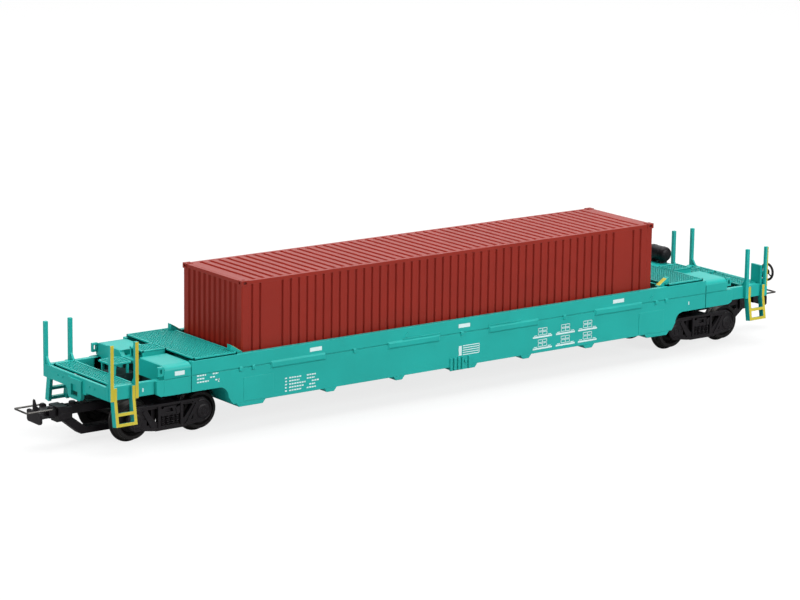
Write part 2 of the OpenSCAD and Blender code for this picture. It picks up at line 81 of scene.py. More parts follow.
BOGIE_LOW, BOGIE_HIGH = corners("bogie_frame_b")

# Body
HALF_L = WALL_HIGH.x  # end of the body
SIDE = 16.5  # plane of the sides
INNER = -WALL_HIGH.y  # inner faces of the side walls
SIDE_TOP = WALL_HIGH.z
SIDE_LOW = WALL_LOW.z
WELL = corners("well_floor")[1].x
BULKHEAD = WELL + 1.5  # outer face of the well's end wall
CREASE = 16.3  # height of the long joint in the sides
JOINT_X = 87.9  # upright joints in the sides
ARCH_TOP = 12.0  # arches over the bogies
ARCH_R = 2.9
ARCH_X = BULKHEAD + 5.2
SHOULDER_X = HALF_L - 8.2  # raised covers at the ends of the body
SHOULDER_TOP = 19.8
SHOULDER_LOW = 18.6
CHANNEL = 4.7  # half the gap between the covers
DECK_TOP = 18.4
TOP = SILL_HIGH.z  # top of the end platform's frame
FACE = SILL_LOW.x + 0.9  # outer face of the end sill
SILL_FLOOR = 10.2  # underside of the centre sill
RAIL_LOW = 12.75  # underside of the platform's frame
RAIL_IN = 14.0  # inner faces of the platform's side rails
POST_OUT = 16.5  # outer and inner faces of the handrail posts
POST_IN = 15.5

# Bogies
PIVOT = (BOGIE_LOW.x + BOGIE_HIGH.x) / 2
AXLES = ((WHEEL_LOW.x + WHEEL_HIGH.x) / 2 - PIVOT, (INNER_LOW.x + INNER_HIGH.x) / 2 - PIVOT)
AXLE_Z = (WHEEL_LOW.z + WHEEL_HIGH.z) / 2
FRAME_TOP = 8.8
FRAME_LOW = BOGIE_LOW.z


# ---- Mesh building ----

def circle(cu, cv, ru, rv, count):
    """Points round an ellipse."""
    turns = [2 * math.pi * i / count for i in range(count)]
    return [(cu + ru * math.cos(a), cv + rv * math.sin(a)) for a in turns]


def arc(cu, cv, r, angles):
    """Points at the given angles, in degrees, on a circle."""
    return [(cu + r * math.cos(math.radians(a)), cv + r * math.sin(math.radians(a))) for a in angles]


def symmetric(points):
    """An outline's right half, bottom to top, closed with its mirror image."""
    return list(points) + [(-u, v) for u, v in reversed(points)]


class Shape:
    """Closed shells in millimetres, each face with the number of its material."""

    def __init__(self):
        self.points, self.faces, self.mats = [], [], []

    def add(self, points, faces, mat=0):
        base = len(self.points)
        self.points += [Vector(p) for p in points]
        self.faces += [[base + i for i in f] for f in faces]
        self.mats += [mat] * len(faces)

    def box(self, low, high, mat=0):
        (a, b, c), (d, e, f) = low, high
        self.add([(a, b, c), (d, b, c), (d, e, c), (a, e, c), (a, b, f), (d, b, f), (d, e, f), (a, e, f)],
            [(3, 2, 1, 0), (4, 5, 6, 7), (0, 1, 5, 4), (1, 2, 6, 5), (2, 3, 7, 6), (3, 0, 4, 7)], mat)

    def span(self, xs, ys, zs, mat=0):
        """A box between pairs of places along each axis, in either order."""
        pairs = [sorted(pair) for pair in (xs, ys, zs)]
        self.box([pair[0] for pair in pairs], [pair[1] for pair in pairs], mat)

    def prism(self, outline, axis, start, end, mat=0, holes=()):
        """An outline in the two other axes, in their order, made solid along the axis."""
        def place(u, v, t):
            return {"x": (t, u, v), "y": (u, t, v), "z": (u, v, t)}[axis]
        rings = [list(outline), *[list(h) for h in holes]]
        flat = [p for ring in rings for p in ring]
        count = len(flat)
        points = [place(u, v, start) for u, v in flat] + [place(u, v, end) for u, v in flat]
        if holes:
            tris = tessellate_polygon([[Vector((u, v, 0)) for u, v in ring] for ring in rings])
            caps = [list(t) for t in tris]
        else:
            caps = [list(range(count))]
        sides, base = [], 0
        for ring in rings:
            n = len(ring)
            for i in range(n):
                here, ahead = base + i, base + (i + 1) % n
                sides.append((here, ahead, count + ahead, count + here))
            base += n
        self.add(points, caps + [[count + i for i in reversed(c)] for c in caps] + sides, mat)

    def turned(self, profile, centre, axis, sides=40, mat=0):
        """A closed shell turned about an axis. The profile is (radius, place along the axis), with
        both ends on the axis."""
        rings = [p for p in profile if p[0] > 1e-9]
        ends = (profile[0][1], profile[-1][1])
        cx, cy, cz = centre

        def place(r, t, angle):
            c, s = r * math.cos(angle), r * math.sin(angle)
            return {"x": (cx + t, cy + c, cz + s), "y": (cx + c, cy + t, cz + s),
                "z": (cx + c, cy + s, cz + t)}[axis]

        points = [place(r, t, 2 * math.pi * k / sides) for r, t in rings for k in range(sides)]
        faces = [(i * sides + k, i * sides + (k + 1) % sides, (i + 1) * sides + (k + 1) % sides,
            (i + 1) * sides + k) for i in range(len(rings) - 1) for k in range(sides)]
        last = (len(rings) - 1) * sides
        points += [place(0, ends[0], 0), place(0, ends[1], 0)]
        faces += [(k, (k + 1) % sides, len(points) - 2) for k in range(sides)]
        faces += [(last + k, last + (k + 1) % sides, len(points) - 1) for k in range(sides)]
        self.add(points, faces, mat)

    def disc(self, centre, axis, r, start, end, sides=24, bevel=0.0):
        """A cylinder, with softened rims where there is a bevel."""
        lip = min(bevel, r * 0.5, abs(end - start) * 0.45)
        step = lip if end > start else -lip
        soft = [(0, start), (r - lip, start), (r, start + step), (r, end - step), (r - lip, end), (0, end)]
        sharp = [(0, start), (r, start), (r, end), (0, end)]
        self.turned(soft if lip > 0 else sharp, centre, axis, sides)

    def pipe(self, path, r, sides=10, closed=False):
        """A round wire along a path of points."""
        path = [Vector(p) for p in path]
        n = len(path)
        rings = []
        up = Vector((0, 0, 1))
        for i, p in enumerate(path):
            ahead = path[(i + 1) % n] if closed or i < n - 1 else p
            behind = path[i - 1] if closed or i else p
            along = (ahead - behind).normalized()
            if i == 0 and abs(along.z) > 0.9:
                up = Vector((1, 0, 0))
            side = along.cross(up).normalized()
            up = side.cross(along).normalized()
            rings.append([p + r * (math.cos(a) * side + math.sin(a) * up)
                for a in (2 * math.pi * k / sides for k in range(sides))])
        points = [q for ring in rings for q in ring]
        spans = n if closed else n - 1
        faces = [(i * sides + k, i * sides + (k + 1) % sides, ((i + 1) % n) * sides + (k + 1) % sides,
            ((i + 1) % n) * sides + k) for i in range(spans) for k in range(sides)]
        if not closed:
            faces += [tuple(range(sides)), tuple((n - 1) * sides + k for k in range(sides))]
        self.add(points, faces)

    def copy(self, scale=(1, 1, 1), move=(0, 0, 0)):
        """A mirrored or moved copy."""
        other = Shape()
        move = Vector(move)
        other.points = [Vector((p.x * scale[0], p.y * scale[1], p.z * scale[2])) + move for p in self.points]
        other.faces = [list(f) for f in self.faces]
        other.mats = list(self.mats)
        return other

    def join(self, other):
        base = len(self.points)
        self.points += other.points
        self.faces += [[base + i for i in f] for f in other.faces]
        self.mats += other.mats
        return self

    def both_sides(self):
        """Adds the mirrored left side to what was drawn on the right."""
        return self.join(self.copy(scale=(1, -1, 1)))


def piece(name, shape, materials, body, nodes=(), slot=None, bevel=0.1, angle=32, smooth=True):
    """Makes the Blender object, lets it ride on its body and stand for its CAD nodes."""
    mesh = bpy.data.meshes.new(name)
    places = [(p.x * MM, p.y * MM, (p.z + FLANGE) * MM) for p in shape.points]
    mesh.from_pydata(places, [], shape.faces)
    for material in materials:
        mesh.materials.append(material)
    mesh.polygons.foreach_set("material_index", shape.mats)
    work = bmesh.new()
    work.from_mesh(mesh)
    bmesh.ops.recalc_face_normals(work, faces=work.faces)
    work.to_mesh(mesh)
    work.free()
    obj = bpy.data.objects.new(name, mesh)
    bpy.context.scene.collection.objects.link(obj)
    if smooth:
        mesh.shade_smooth()
    if bevel:
        soft = obj.modifiers.new("edges", "BEVEL")
        soft.width = bevel * MM
        soft.segments = 2
        soft.limit_method = "ANGLE"
        soft.angle_limit = math.radians(angle)
        soft.harden_normals = smooth
        soft.miter_outer = "MITER_ARC"
    elif smooth:
        mesh.set_sharp_from_angle(angle=math.radians(angle))
    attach(obj, body)
    if nodes:
        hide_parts(*nodes)


def at_ends(name, shape, materials, node, slot, body="wagon_body", **options):
    """The same piece at both ends: drawn for +X and mirrored for -X."""
    for letter, side in ENDS:
        where = body if body == "wagon_body" else f"{body}_{letter}"
        piece(f"{name}_{letter}", shape.copy(scale=(side, 1, 1)), materials, where,
            [f"{node}_{letter}"], slot, **options)


# ---- Materials ----

MOTTLE_SCALE = 90  # broad unevenness, per metre
GRAIN_SCALE = 2600  # fine grain, per metre
GRAIN_DEPTH = 0.00003  # metres
EDGE_REACH = 0.00022  # metres that the wear reaches in from an edge


def node(tree, kind, **values):
    """A new shader node with its input values. An underscore in a name stands for a space."""
    made = tree.nodes.new("ShaderNode" + kind)
    for name, value in values.items():
        made.inputs[name.replace("_", " ")].default_value = value
    return made


def plastic(name, colour, rough=0.42, mottle=0.06, metallic=0.0, specular=0.3, wear=0.25):
    """Moulded or painted surface: slightly uneven colour, fine grain and rubbed edges."""
    mat = bpy.data.materials.new(name)
    mat.use_nodes = True
    tree, link = mat.node_tree, mat.node_tree.links.new
    tree.nodes.clear()
    out = node(tree, "OutputMaterial")
    shader = node(tree, "BsdfPrincipled", Metallic=metallic, Specular_IOR_Level=specular)
    link(shader.outputs["BSDF"], out.inputs["Surface"])
    where = node(tree, "TexCoord")
    broad = node(tree, "TexNoise", Scale=MOTTLE_SCALE, Detail=4)
    fine = node(tree, "TexNoise", Scale=GRAIN_SCALE, Detail=3)
    for texture in (broad, fine):
        link(where.outputs["Object"], texture.inputs["Vector"])
    ramp = node(tree, "ValToRGB")
    dark, light = ramp.color_ramp.elements
    dark.position, light.position = 0.3, 0.7
    dark.color = (*[c * (1 - mottle) for c in colour], 1)
    light.color = (*[min(1, c * (1 + mottle)) for c in colour], 1)
    link(broad.outputs["Fac"], ramp.inputs["Fac"])
    tint = ramp.outputs["Color"]
    if wear:
        # the normal of a wider bevel turns away from the surface's own near an edge
        soft = node(tree, "Bevel", Radius=EDGE_REACH)
        soft.samples = 4
        plain = node(tree, "NewGeometry")
        same = node(tree, "VectorMath")
        same.operation = "DOT_PRODUCT"
        link(soft.outputs["Normal"], same.inputs[0])
        link(plain.outputs["Normal"], same.inputs[1])
        edge = node(tree, "MapRange", From_Min=0.99, From_Max=0.86, To_Max=wear)
        link(same.outputs["Value"], edge.inputs["Value"])
        rub = node(tree, "Math")
        rub.operation = "MULTIPLY"
        link(edge.outputs["Result"], rub.inputs[0])
        link(broad.outputs["Fac"], rub.inputs[1])
        worn = node(tree, "Mix")
        worn.data_type = "RGBA"
        link(rub.outputs[0], worn.inputs["Factor"])
        link(tint, worn.inputs["A"])
        worn.inputs["B"].default_value = (*[min(1, c * 1.5 + 0.08) for c in colour], 1)
        tint = worn.outputs["Result"]
    link(tint, shader.inputs["Base Color"])
    spread = node(tree, "MapRange", To_Min=rough - 0.06, To_Max=rough + 0.06)
    link(fine.outputs["Fac"], spread.inputs["Value"])
    link(spread.outputs["Result"], shader.inputs["Roughness"])
    bump = node(tree, "Bump", Strength=0.25, Distance=GRAIN_DEPTH)
    link(fine.outputs["Fac"], bump.inputs["Height"])
    link(bump.outputs["Normal"], shader.inputs["Normal"])
    return mat


TEAL = plastic("teal_plastic_look", (0.009, 0.405, 0.362), rough=0.45)
TEAL_DARK = plastic("teal_shade_look", (0.004, 0.055, 0.05), rough=0.6, specular=0.15)
# painted shade: the teal centre sill is coloured near black for the shade that falls under the body
UNDER_SHADE = plastic("underside_painted_shade_look", (0.012, 0.035, 0.034), rough=0.6, specular=0.15)
YELLOW = plastic("yellow_paint_look", (0.56, 0.47, 0.035), rough=0.42, mottle=0.12)
BLACK = plastic("black_plastic_look", (0.010, 0.008, 0.010), rough=0.45, mottle=0.2, specular=0.22)
RUST = plastic("rust_red_look", (0.28, 0.0166, 0.007), rough=0.42, mottle=0.05)
RUST_DARK = plastic("rust_shade_look", (0.12, 0.008, 0.005), rough=0.5)
WHITE = plastic("white_print_look", (0.70, 0.86, 0.86), rough=0.5, wear=0)
WHEEL = plastic("wheel_black_look", (0.010, 0.009, 0.009), rough=0.42, mottle=0.2, specular=0.22)
TREAD = plastic("wheel_tread_look", (0.07, 0.066, 0.062), rough=0.4, metallic=0.9)
WIRE = plastic("dark_wire_look", (0.10, 0.095, 0.09), rough=0.33, metallic=0.85)
CHROME = plastic("screw_steel_look", (0.45, 0.44, 0.43), rough=0.3, metallic=1.0)
# painted shade: near black for the shade inside the pivot screws' slots
SLOT_SHADE = plastic("slot_painted_shade_look", (0.008, 0.02, 0.02), rough=0.8, specular=0.1, wear=0)


# ---- Container ----

PITCH = 2.62  # between the grooves of the long sides
CTR_TOP = CTR_HIGH.z
CTR_BOTTOM = CTR_LOW.z
CTR_AT = (CTR_LOW.x + CTR_HIGH.x) / 2  # the container's middle along the wagon
CTR_X = CTR_HIGH.x - CTR_AT
CTR_Y = CTR_HIGH.y
CAST_X, CAST_Y, CAST_H = 2.1, 1.9, 1.4  # corner castings
SHEET = 0.9  # from the skin to the back of a wall
SKIN_X = CTR_X - 0.15  # the castings stand a little outside the skin
SKIN_Y = CTR_Y - 0.15
ROOF = CTR_TOP - 0.15
UPPER_RAIL = ROOF - 0.95  # underside of the upper rails
LOWER_RAIL = CTR_BOTTOM + 1.3  # top of the lower rails
ROOF_HALF_Y = 12.75
END_HALF = CTR_Y - CAST_Y
SIDE_MARKS = [-57.4 + PITCH * i for i in range(44)] + [-66.9, -64.4, 62.6, 65.3, 67.6]
ROOF_MARKS = [-65.3 + i * 130.6 / 46 for i in range(47)]
END_MARKS = [-10.9 + i * 21.8 / 9 for i in range(10)]


def box_piece(name, shape, materials, node, bevel=0.06):
    """A piece of the container, drawn about the container's middle."""
    piece(name, shape.copy(move=(CTR_AT, 0, 0)), materials, "container", [node], "rust_red_plastic",
        bevel=bevel)


def corrugated(marks, half, depth, surface, back, width, floor_width):
    """Outline of a sheet with grooves at the marks: along it, and out from it."""
    line = [(-half, surface)]
    for m in sorted(marks):
        line += [(m - width / 2, surface), (m - floor_width / 2, surface - depth),
            (m + floor_width / 2, surface - depth), (m + width / 2, surface)]
    return line + [(half, surface), (half, back), (-half, back)]


def container_side():
    """Long wall on the right: corrugated sheet between an upper and a lower rail."""
    shape = Shape()
    span = CTR_X - CAST_X
    marks = [m for m in SIDE_MARKS if abs(m) < span - 0.5]
    outline = corrugated(marks, span, -0.45, -SKIN_Y, -SKIN_Y + SHEET, 1.0, 0.45)
    shape.prism(outline, "z", LOWER_RAIL - 0.1, UPPER_RAIL + 0.1)
    for low, high in ((UPPER_RAIL, ROOF), (CTR_BOTTOM + 0.2, LOWER_RAIL)):
        shape.box((-span, -SKIN_Y - 0.03, low), (span, -SKIN_Y + SHEET - 0.02, high))
    return shape


def container_roof():
    """Grooved sheet with a flat strip along each side."""
    shape = Shape()
    half, low = SKIN_X - SHEET, ROOF - SHEET
    outline = corrugated(ROOF_MARKS, half, 0.42, ROOF, low, 1.2, 0.5)
    shape.prism(outline, "y", -ROOF_HALF_Y, ROOF_HALF_Y)
    for s in (-1, 1):
        shape.span((-half, half), (s * (ROOF_HALF_Y - 0.01), s * (ROOF_HALF_Y + 0.19)), (low, ROOF))
    return shape


def container_front():
    """Closed end at -X: corrugated sheet between two rails."""
    shape = Shape()
    outline = corrugated(END_MARKS, END_HALF, 0.55, SKIN_X, SKIN_X - SHEET, 1.35, 0.65)
    shape.prism([(-v, u) for u, v in outline], "z", LOWER_RAIL - 0.1, UPPER_RAIL + 0.1)
    for low, high in ((UPPER_RAIL, ROOF), (CTR_BOTTOM, LOWER_RAIL)):
        shape.box((-SKIN_X - 0.02, -END_HALF, low), (-SKIN_X + SHEET - 0.02, END_HALF, high))
    return shape


def container_doors():
    """Two leaves with frames, cross-ribs and hinges, between a sill and a header."""
    low, high = CTR_BOTTOM + 1.2, ROOF - 1.2
    gap = 0.12  # half the gap between the leaves
    back, front = SKIN_X - 0.5, SKIN_X - 0.2
    leaf = Shape()
    leaf.box((SKIN_X - SHEET, gap, low), (SKIN_X - 0.45, END_HALF, high))
    leaf.box((back, gap, low), (front, 0.9, high))
    leaf.box((back, END_HALF - 0.7, low), (front, END_HALF, high))
    for z in (low, CTR_BOTTOM + 7.8, CTR_BOTTOM + 14.4, CTR_BOTTOM + 21, ROOF - 1.9):
        leaf.box((back, gap, z), (front, END_HALF, z + 0.7))
    for z in (CTR_BOTTOM + 3.4, CTR_BOTTOM + 10, CTR_BOTTOM + 18, ROOF - 4):
        leaf.box((back, END_HALF - 1.4, z), (SKIN_X - 0.02, END_HALF + 0.35, z + 0.9))
    shape = leaf.copy(scale=(1, -1, 1)).join(leaf)
    for a, b in ((CTR_BOTTOM, low), (high, ROOF)):
        shape.box((SKIN_X - SHEET, -END_HALF, a), (SKIN_X, END_HALF, b))
    return shape


def lock_rods():
    """Four upright rods in their brackets, each with a handle."""
    shape = Shape()
    for y in (-9, -4, 4, 9):
        shape.disc((SKIN_X - 0.05, y, 0), "z", 0.2, CTR_BOTTOM + 0.5, ROOF - 0.4, 14, bevel=0.05)
        for z in (CTR_BOTTOM + 0.7, CTR_BOTTOM + 6, CTR_BOTTOM + 13, CTR_BOTTOM + 20, ROOF - 1.2):
            shape.box((SKIN_X - 0.4, y - 0.5, z), (SKIN_X + 0.1, y + 0.5, z + 0.45))
    for y, s in ((-9, 1), (-4, -1), (4, 1), (9, -1)):
        shape.span((SKIN_X - 0.1, SKIN_X + 0.12), (y, y + s * 3.2), (CTR_BOTTOM + 10.6, CTR_BOTTOM + 11))
    return shape


def casting(z0, z1):
    """Corner casting at the +X, -Y corner, with its three oval holes."""
    s, skin = Shape(), 0.35
    x0, x1, y0, y1 = CTR_X - CAST_X, CTR_X, -CTR_Y, -CTR_Y + CAST_Y
    mx, my, mz = (x0 + x1) / 2, (y0 + y1) / 2, (z0 + z1) / 2
    s.box((x0 + 0.02, y0 + skin, z0 + skin), (x1 - skin, y1 - 0.02, z1 - skin), 1)
    s.prism([(x0, z0), (x1, z0), (x1, z1), (x0, z1)], "y", y0, y0 + skin,
        holes=[circle(mx, mz, 0.58, 0.36, 20)])
    s.prism([(y0 + skin, z0), (y1, z0), (y1, z1), (y0 + skin, z1)], "x", x1 - skin, x1,
        holes=[circle(my + 0.15, mz, 0.4, 0.36, 20)])
    for a, b in ((z0, z0 + skin), (z1 - skin, z1)):
        s.prism([(x0, y0 + skin), (x1 - skin, y0 + skin), (x1 - skin, y1), (x0, y1)], "z", a, b,
            holes=[circle(mx - 0.1, my + 0.15, 0.6, 0.4, 20)])
    return s


def corner_posts():
    """Four posts, each with a casting at its foot and its head."""
    corner = casting(CTR_BOTTOM, CTR_BOTTOM + CAST_H)
    corner.join(casting(CTR_TOP - CAST_H, CTR_TOP))
    x0, y1 = CTR_X - CAST_X, -CTR_Y + CAST_Y
    corner.prism([(x0, -SKIN_Y), (SKIN_X - 0.3, -SKIN_Y), (SKIN_X, -SKIN_Y + 0.3), (SKIN_X, y1), (x0, y1)],
        "z", CTR_BOTTOM + CAST_H - 0.02, CTR_TOP - CAST_H + 0.02)
    shape = Shape()
    for sx in (-1, 1):
        for sy in (-1, 1):
            shape.join(corner.copy(scale=(sx, -sy, 1)))
    return shape


box_piece("box_side_right", container_side(), [RUST], "container_side_right")
box_piece("box_side_left", container_side().copy(scale=(1, -1, 1)), [RUST], "container_side_left")
box_piece("box_roof", container_roof(), [RUST], "container_roof")
box_piece("box_front", container_front(), [RUST], "container_front")
box_piece("box_doors", container_doors(), [RUST], "container_doors")
box_piece("box_lock_rods", lock_rods(), [RUST], "door_lock_rods", bevel=0.04)
box_piece("box_corner_posts", corner_posts(), [RUST, RUST_DARK], "container_corner_posts", bevel=0.05)


# ---- Sides of the well ----

GROOVE = 0.13  # half the width of the joints between the side's panels
PANEL = 0.3  # thickness of the panels
POCKETS = (-54.8, -17.1, 17.1, 54.8)
LUGS = (-72.75, -68.85, -36.65, -0.75, 35.25, 68.85, 72.75)


def arch_points():
    """Edge of the side over a bogie, from the bottom of the well up to the top of the arch, at +X."""
    slope = (ARCH_X - ARCH_R - BULKHEAD - 0.3) / (ARCH_TOP - ARCH_R - 6)
    foot = BULKHEAD + 0.3 + (SIDE_LOW - 6) * slope
    return [(foot, SIDE_LOW)] + arc(ARCH_X, ARCH_TOP - ARCH_R, ARCH_R, range(180, 89, -15))


def raised_pocket(shape, x):
    """A long pocket on the joint, with slanting edges all round."""
    half, slant, inner, outer = 8.8, 0.45, -SIDE + 0.05, -SIDE - 0.5
    ring = [(inner, 14.75), (outer, 15.35), (outer, 16.5), (inner, 16.95)]
    points = [(x + e * (half - (0 if y > -SIDE else slant)), y, z) for e in (-1, 1) for y, z in ring]
    shape.add(points, [(0, 1, 2, 3), (4, 5, 6, 7), (0, 1, 5, 4), (1, 2, 6, 5), (2, 3, 7, 6), (3, 0, 4, 7)])


def side_panels(shape):
    """Outer skin: two long panels and two short ones at each end, with joints between them."""
    front, back = -SIDE, -SIDE + PANEL + 0.02
    near, far = JOINT_X - GROOVE, JOINT_X + GROOVE
    below, above = CREASE - GROOVE, CREASE + GROOVE
    shape.prism(symmetric(arch_points() + [(near, ARCH_TOP), (near, below)]), "y", front, back)
    shape.prism(symmetric([(near, above), (near, SIDE_TOP)]), "y", front, back)
    for s in (-1, 1):
        for low, high in ((ARCH_TOP, below), (above, SHOULDER_LOW)):
            shape.prism([(s * far, low), (s * HALF_L, low), (s * HALF_L, high), (s * far, high)],
                "y", front, back)


def side_wall():
    shape = Shape()
    outline = symmetric(arch_points() + [(HALF_L, ARCH_TOP), (HALF_L, SHOULDER_LOW),
        (SHOULDER_X, SHOULDER_LOW), (SHOULDER_X, SIDE_TOP)])
    shape.prism(outline, "y", -SIDE + PANEL, -INNER)
    side_panels(shape)
    for x in POCKETS:
        raised_pocket(shape, x)
    root = -SIDE + 0.1  # what stands on the panels starts a little inside them
    for x in LUGS:
        shape.prism([(root, 15.2), (-SIDE - 0.38, 15.55), (-SIDE - 0.38, 16.4), (root, 16.75)],
            "x", x - 0.45, x + 0.45)
    # shallow plates beside the arches
    for s in (-1, 1):
        shape.span((s * 62.6, s * 71.9), (-SIDE - 0.12, root), (SIDE_LOW + 0.3, 13.6))
    # short raised lines above the pockets, with slanting ends
    for x0, x1 in ((-20.75, -8.35), (8.25, 19.75)):
        shape.box((x0, -SIDE - 0.22, 17.05), (x1, root, 17.3))
    shape.prism([(-20.75, 17.05), (-20.35, 17.05), (-18.9, 18.8), (-19.3, 18.8)], "y", -SIDE - 0.22, root)
    shape.prism([(66.2, 17.05), (66.6, 17.05), (67.9, 18.4), (67.5, 18.4)], "y", -SIDE - 0.15, root)
    # ribbed panel on the middle cross-beam
    for x in (-4.5, -3.2, -1.8, -0.5, 1.75):
        shape.box((x - 0.3, -SIDE - 0.4, SIDE_LOW - 0.95), (x + 0.3, root, 9.6))
    shape.disc((0.55, -SIDE, 8.3), "y", 0.5, 0.1, -0.42, 16, bevel=0.1)
    return shape


# Generic white printing: plain patches, bars and outlines, with no lettering

def patch(shape, x0, x1, z0, z1):
    shape.box((x0, -SIDE - 0.035, z0), (x1, -SIDE + 0.05, z1))


def patch_outline(shape, x0, x1, z0, z1, line=0.16):
    for sides in ((x0, x1, z0, z0 + line), (x0, x1, z1 - line, z1),
            (x0, x0 + line, z0, z1), (x1 - line, x1, z0, z1)):
        patch(shape, *sides)


def loading_diagram(shape, x, z):
    """Two stacked boxes over a bar."""
    patch(shape, x, x + 6.8, z + 0.05, z + 0.5)
    patch(shape, x + 0.4, x + 1.5, z + 0.65, z + 0.85)
    patch(shape, x + 5.3, x + 6.4, z + 0.65, z + 0.85)
    patch_outline(shape, x + 1.8, x + 5.0, z + 0.75, z + 1.75)
    patch_outline(shape, x + 1.8, x + 5.0, z + 1.9, z + 2.8)
    patch(shape, x + 3.3, x + 3.5, z + 0.75, z + 2.8)


def dash_block(shape, x0, z0, rows, lengths):
    """Rows of short dashes in columns of the given lengths, which vary from row to row."""
    for row in range(rows):
        x, z = x0, z0 + row * 0.85
        for column, length in enumerate(lengths):
            end = x + length * (1 - 0.12 * ((row * 3 + column * 2) % 4))
            while x < end:
                patch(shape, x, x + min(0.62, end - x), z, z + 0.36)
                x += 0.8
            x = max(x, end) + (1.6 if column == len(lengths) - 2 else 0.5)


def print_marks():
    shape = Shape()
    for x0, x1 in ((-51.05, -47.25), (-1.95, 1.95), (52.85, 56.85)):
        patch(shape, x0, x1, 17.65, 18.7)
    patch(shape, -92.85, -89.95, 17.0, 18.1)
    # table: five lines beside a filled column
    for i in range(5):
        patch(shape, -0.4, 5.3, 9.95 + 0.62 * i, 10.17 + 0.62 * i)
    patch(shape, -1.75, -0.75, 9.95, 12.6)
    patch(shape, 5.15, 5.35, 9.95, 12.6)
    for x in (24.1, 32.3, 40.3):
        for z in (7.95, 11.2):
            loading_diagram(shape, x, z)
    dash_block(shape, -70.0, 9.4, 3, (0.5, 3.0))
    dash_block(shape, -58.9, 8.0, 5, (0.8, 5.2, 2.9))
    dash_block(shape, -86.2, 14.1, 3, (3.6, 1.7))
    for x, z in ((-102.55, 14.2), (-79.75, 13.6), (81.25, 13.8)):
        patch(shape, x, x + 0.3, z, z + 0.9)
    return shape


def on_sides(name, shape, materials, nodes, mirror, **options):
    """A piece on the right side and its copy on the left one."""
    for hand, scale in (("right", (1, 1, 1)), ("left", mirror)):
        piece(f"{name}_{hand}", shape.copy(scale=scale), materials, "wagon_body",
            [f"{nodes}_{hand}"] if nodes else (), "teal_plastic", **options)


on_sides("well_side", side_wall(), [TEAL], "side_wall", (1, -1, 1), bevel=0.09)
on_sides("side_marks", print_marks(), [WHITE], None, (-1, -1, 1), bevel=0, smooth=False)


# ---- Well floor ----

BEAMS = ((0, 4.8), (0.3 * WELL, 1.9), (0.61 * WELL, 2.05), (BULKHEAD - 4.6, 4.6))  # middle and half width


def well_floor():
    """Floor plate with openings between its cross-beams."""
    shape = Shape()
    windows = []
    edge = INNER - 3.2
    for s in (-1, 1):
        for (c0, h0), (c1, h1) in zip(BEAMS, BEAMS[1:]):
            x0, x1 = sorted((s * (c0 + h0 + 1), s * (c1 - h1 - 1)))
            windows.append([(x0, -edge), (x1, -edge), (x1, edge), (x0, edge)])
    shape.prism([(-WELL, -INNER), (WELL, -INNER), (WELL, INNER), (-WELL, INNER)], "z",
        SIDE_LOW, SIDE_LOW + 1.55, holes=windows)
    beam_low, chamfer = SIDE_LOW - 1.05, 0.9
    for middle, half in BEAMS:
        for s in ((1,) if middle == 0 else (-1, 1)):
            x0, x1 = s * middle - half, s * middle + half
            shape.prism([(x0, SIDE_LOW), (x0 + chamfer, beam_low), (x1 - chamfer, beam_low), (x1, SIDE_LOW)],
                "y", -SIDE, SIDE)
    return shape


piece("well_floor_plate", well_floor(), [TEAL], "wagon_body", ["well_floor"], "dark_teal_plastic", bevel=0.08)


# ---- Ends of the body ----

def arch_lining(shape):
    """Curved plates inside the arches, which stop clear of the swivelling wheels."""
    edge = arch_points()
    back = [(x - 0.5, z + 0.35) for x, z in reversed(edge)]
    top = DECK_TOP - 0.9
    lining = edge + [(ARCH_X + 0.4, ARCH_TOP), (ARCH_X + 0.4, top), (ARCH_X - 0.1, top)] + back
    wheels_reach = 8.2
    shape.prism(lining, "y", -INNER + 0.03, -wheels_reach)
    shape.prism(lining, "y", wheels_reach, INNER - 0.03)


def end_deck():
    """The well's end wall, the deck behind it, the arch linings and the covers with their end faces."""
    shape = Shape()
    shape.box((WELL, -INNER, SIDE_LOW), (BULKHEAD, INNER, SIDE_TOP - 0.02))
    shape.box((BULKHEAD - 0.1, -INNER + 0.02, DECK_TOP - 1), (HALF_L - 0.1, INNER - 0.02, DECK_TOP))
    arch_lining(shape)
    right = Shape()
    face_low = 15.3
    right.prism([(-CHANNEL * 0.7, face_low), (-CHANNEL * 0.7, DECK_TOP - 0.3),
        (-CHANNEL - 0.03, SHOULDER_TOP - 0.5), (-CHANNEL - 0.4, SHOULDER_TOP - 0.06),
        (-SIDE + 2.2, SHOULDER_TOP - 0.06), (-SIDE + 0.9, SHOULDER_LOW + 0.95),
        (-SIDE + 0.35, SHOULDER_LOW + 0.3), (-SIDE + 0.35, face_low)], "x", HALF_L - 1.2, HALF_L + 0.04)
    right.prism([(-CHANNEL, DECK_TOP - 0.1), (-INNER, DECK_TOP - 0.1), (-INNER, SHOULDER_LOW - 0.02),
        (-SIDE, SHOULDER_LOW - 0.02), (-SIDE + 0.12, SHOULDER_LOW + 0.35), (-SIDE + 0.4, SHOULDER_LOW + 0.7),
        (-SIDE + 0.9, SHOULDER_LOW + 1.0), (-SIDE + 1.7, SHOULDER_TOP - 0.02), (-SIDE + 2.2, SHOULDER_TOP),
        (-CHANNEL, SHOULDER_TOP)], "x", SHOULDER_X, HALF_L - 0.2)
    right.box((SHOULDER_X + 0.6, -CHANNEL - 2.2, SHOULDER_TOP - 0.1),
        (SHOULDER_X + 3.2, -CHANNEL - 0.7, SHOULDER_TOP + 0.02))
    return shape.join(right.both_sides())


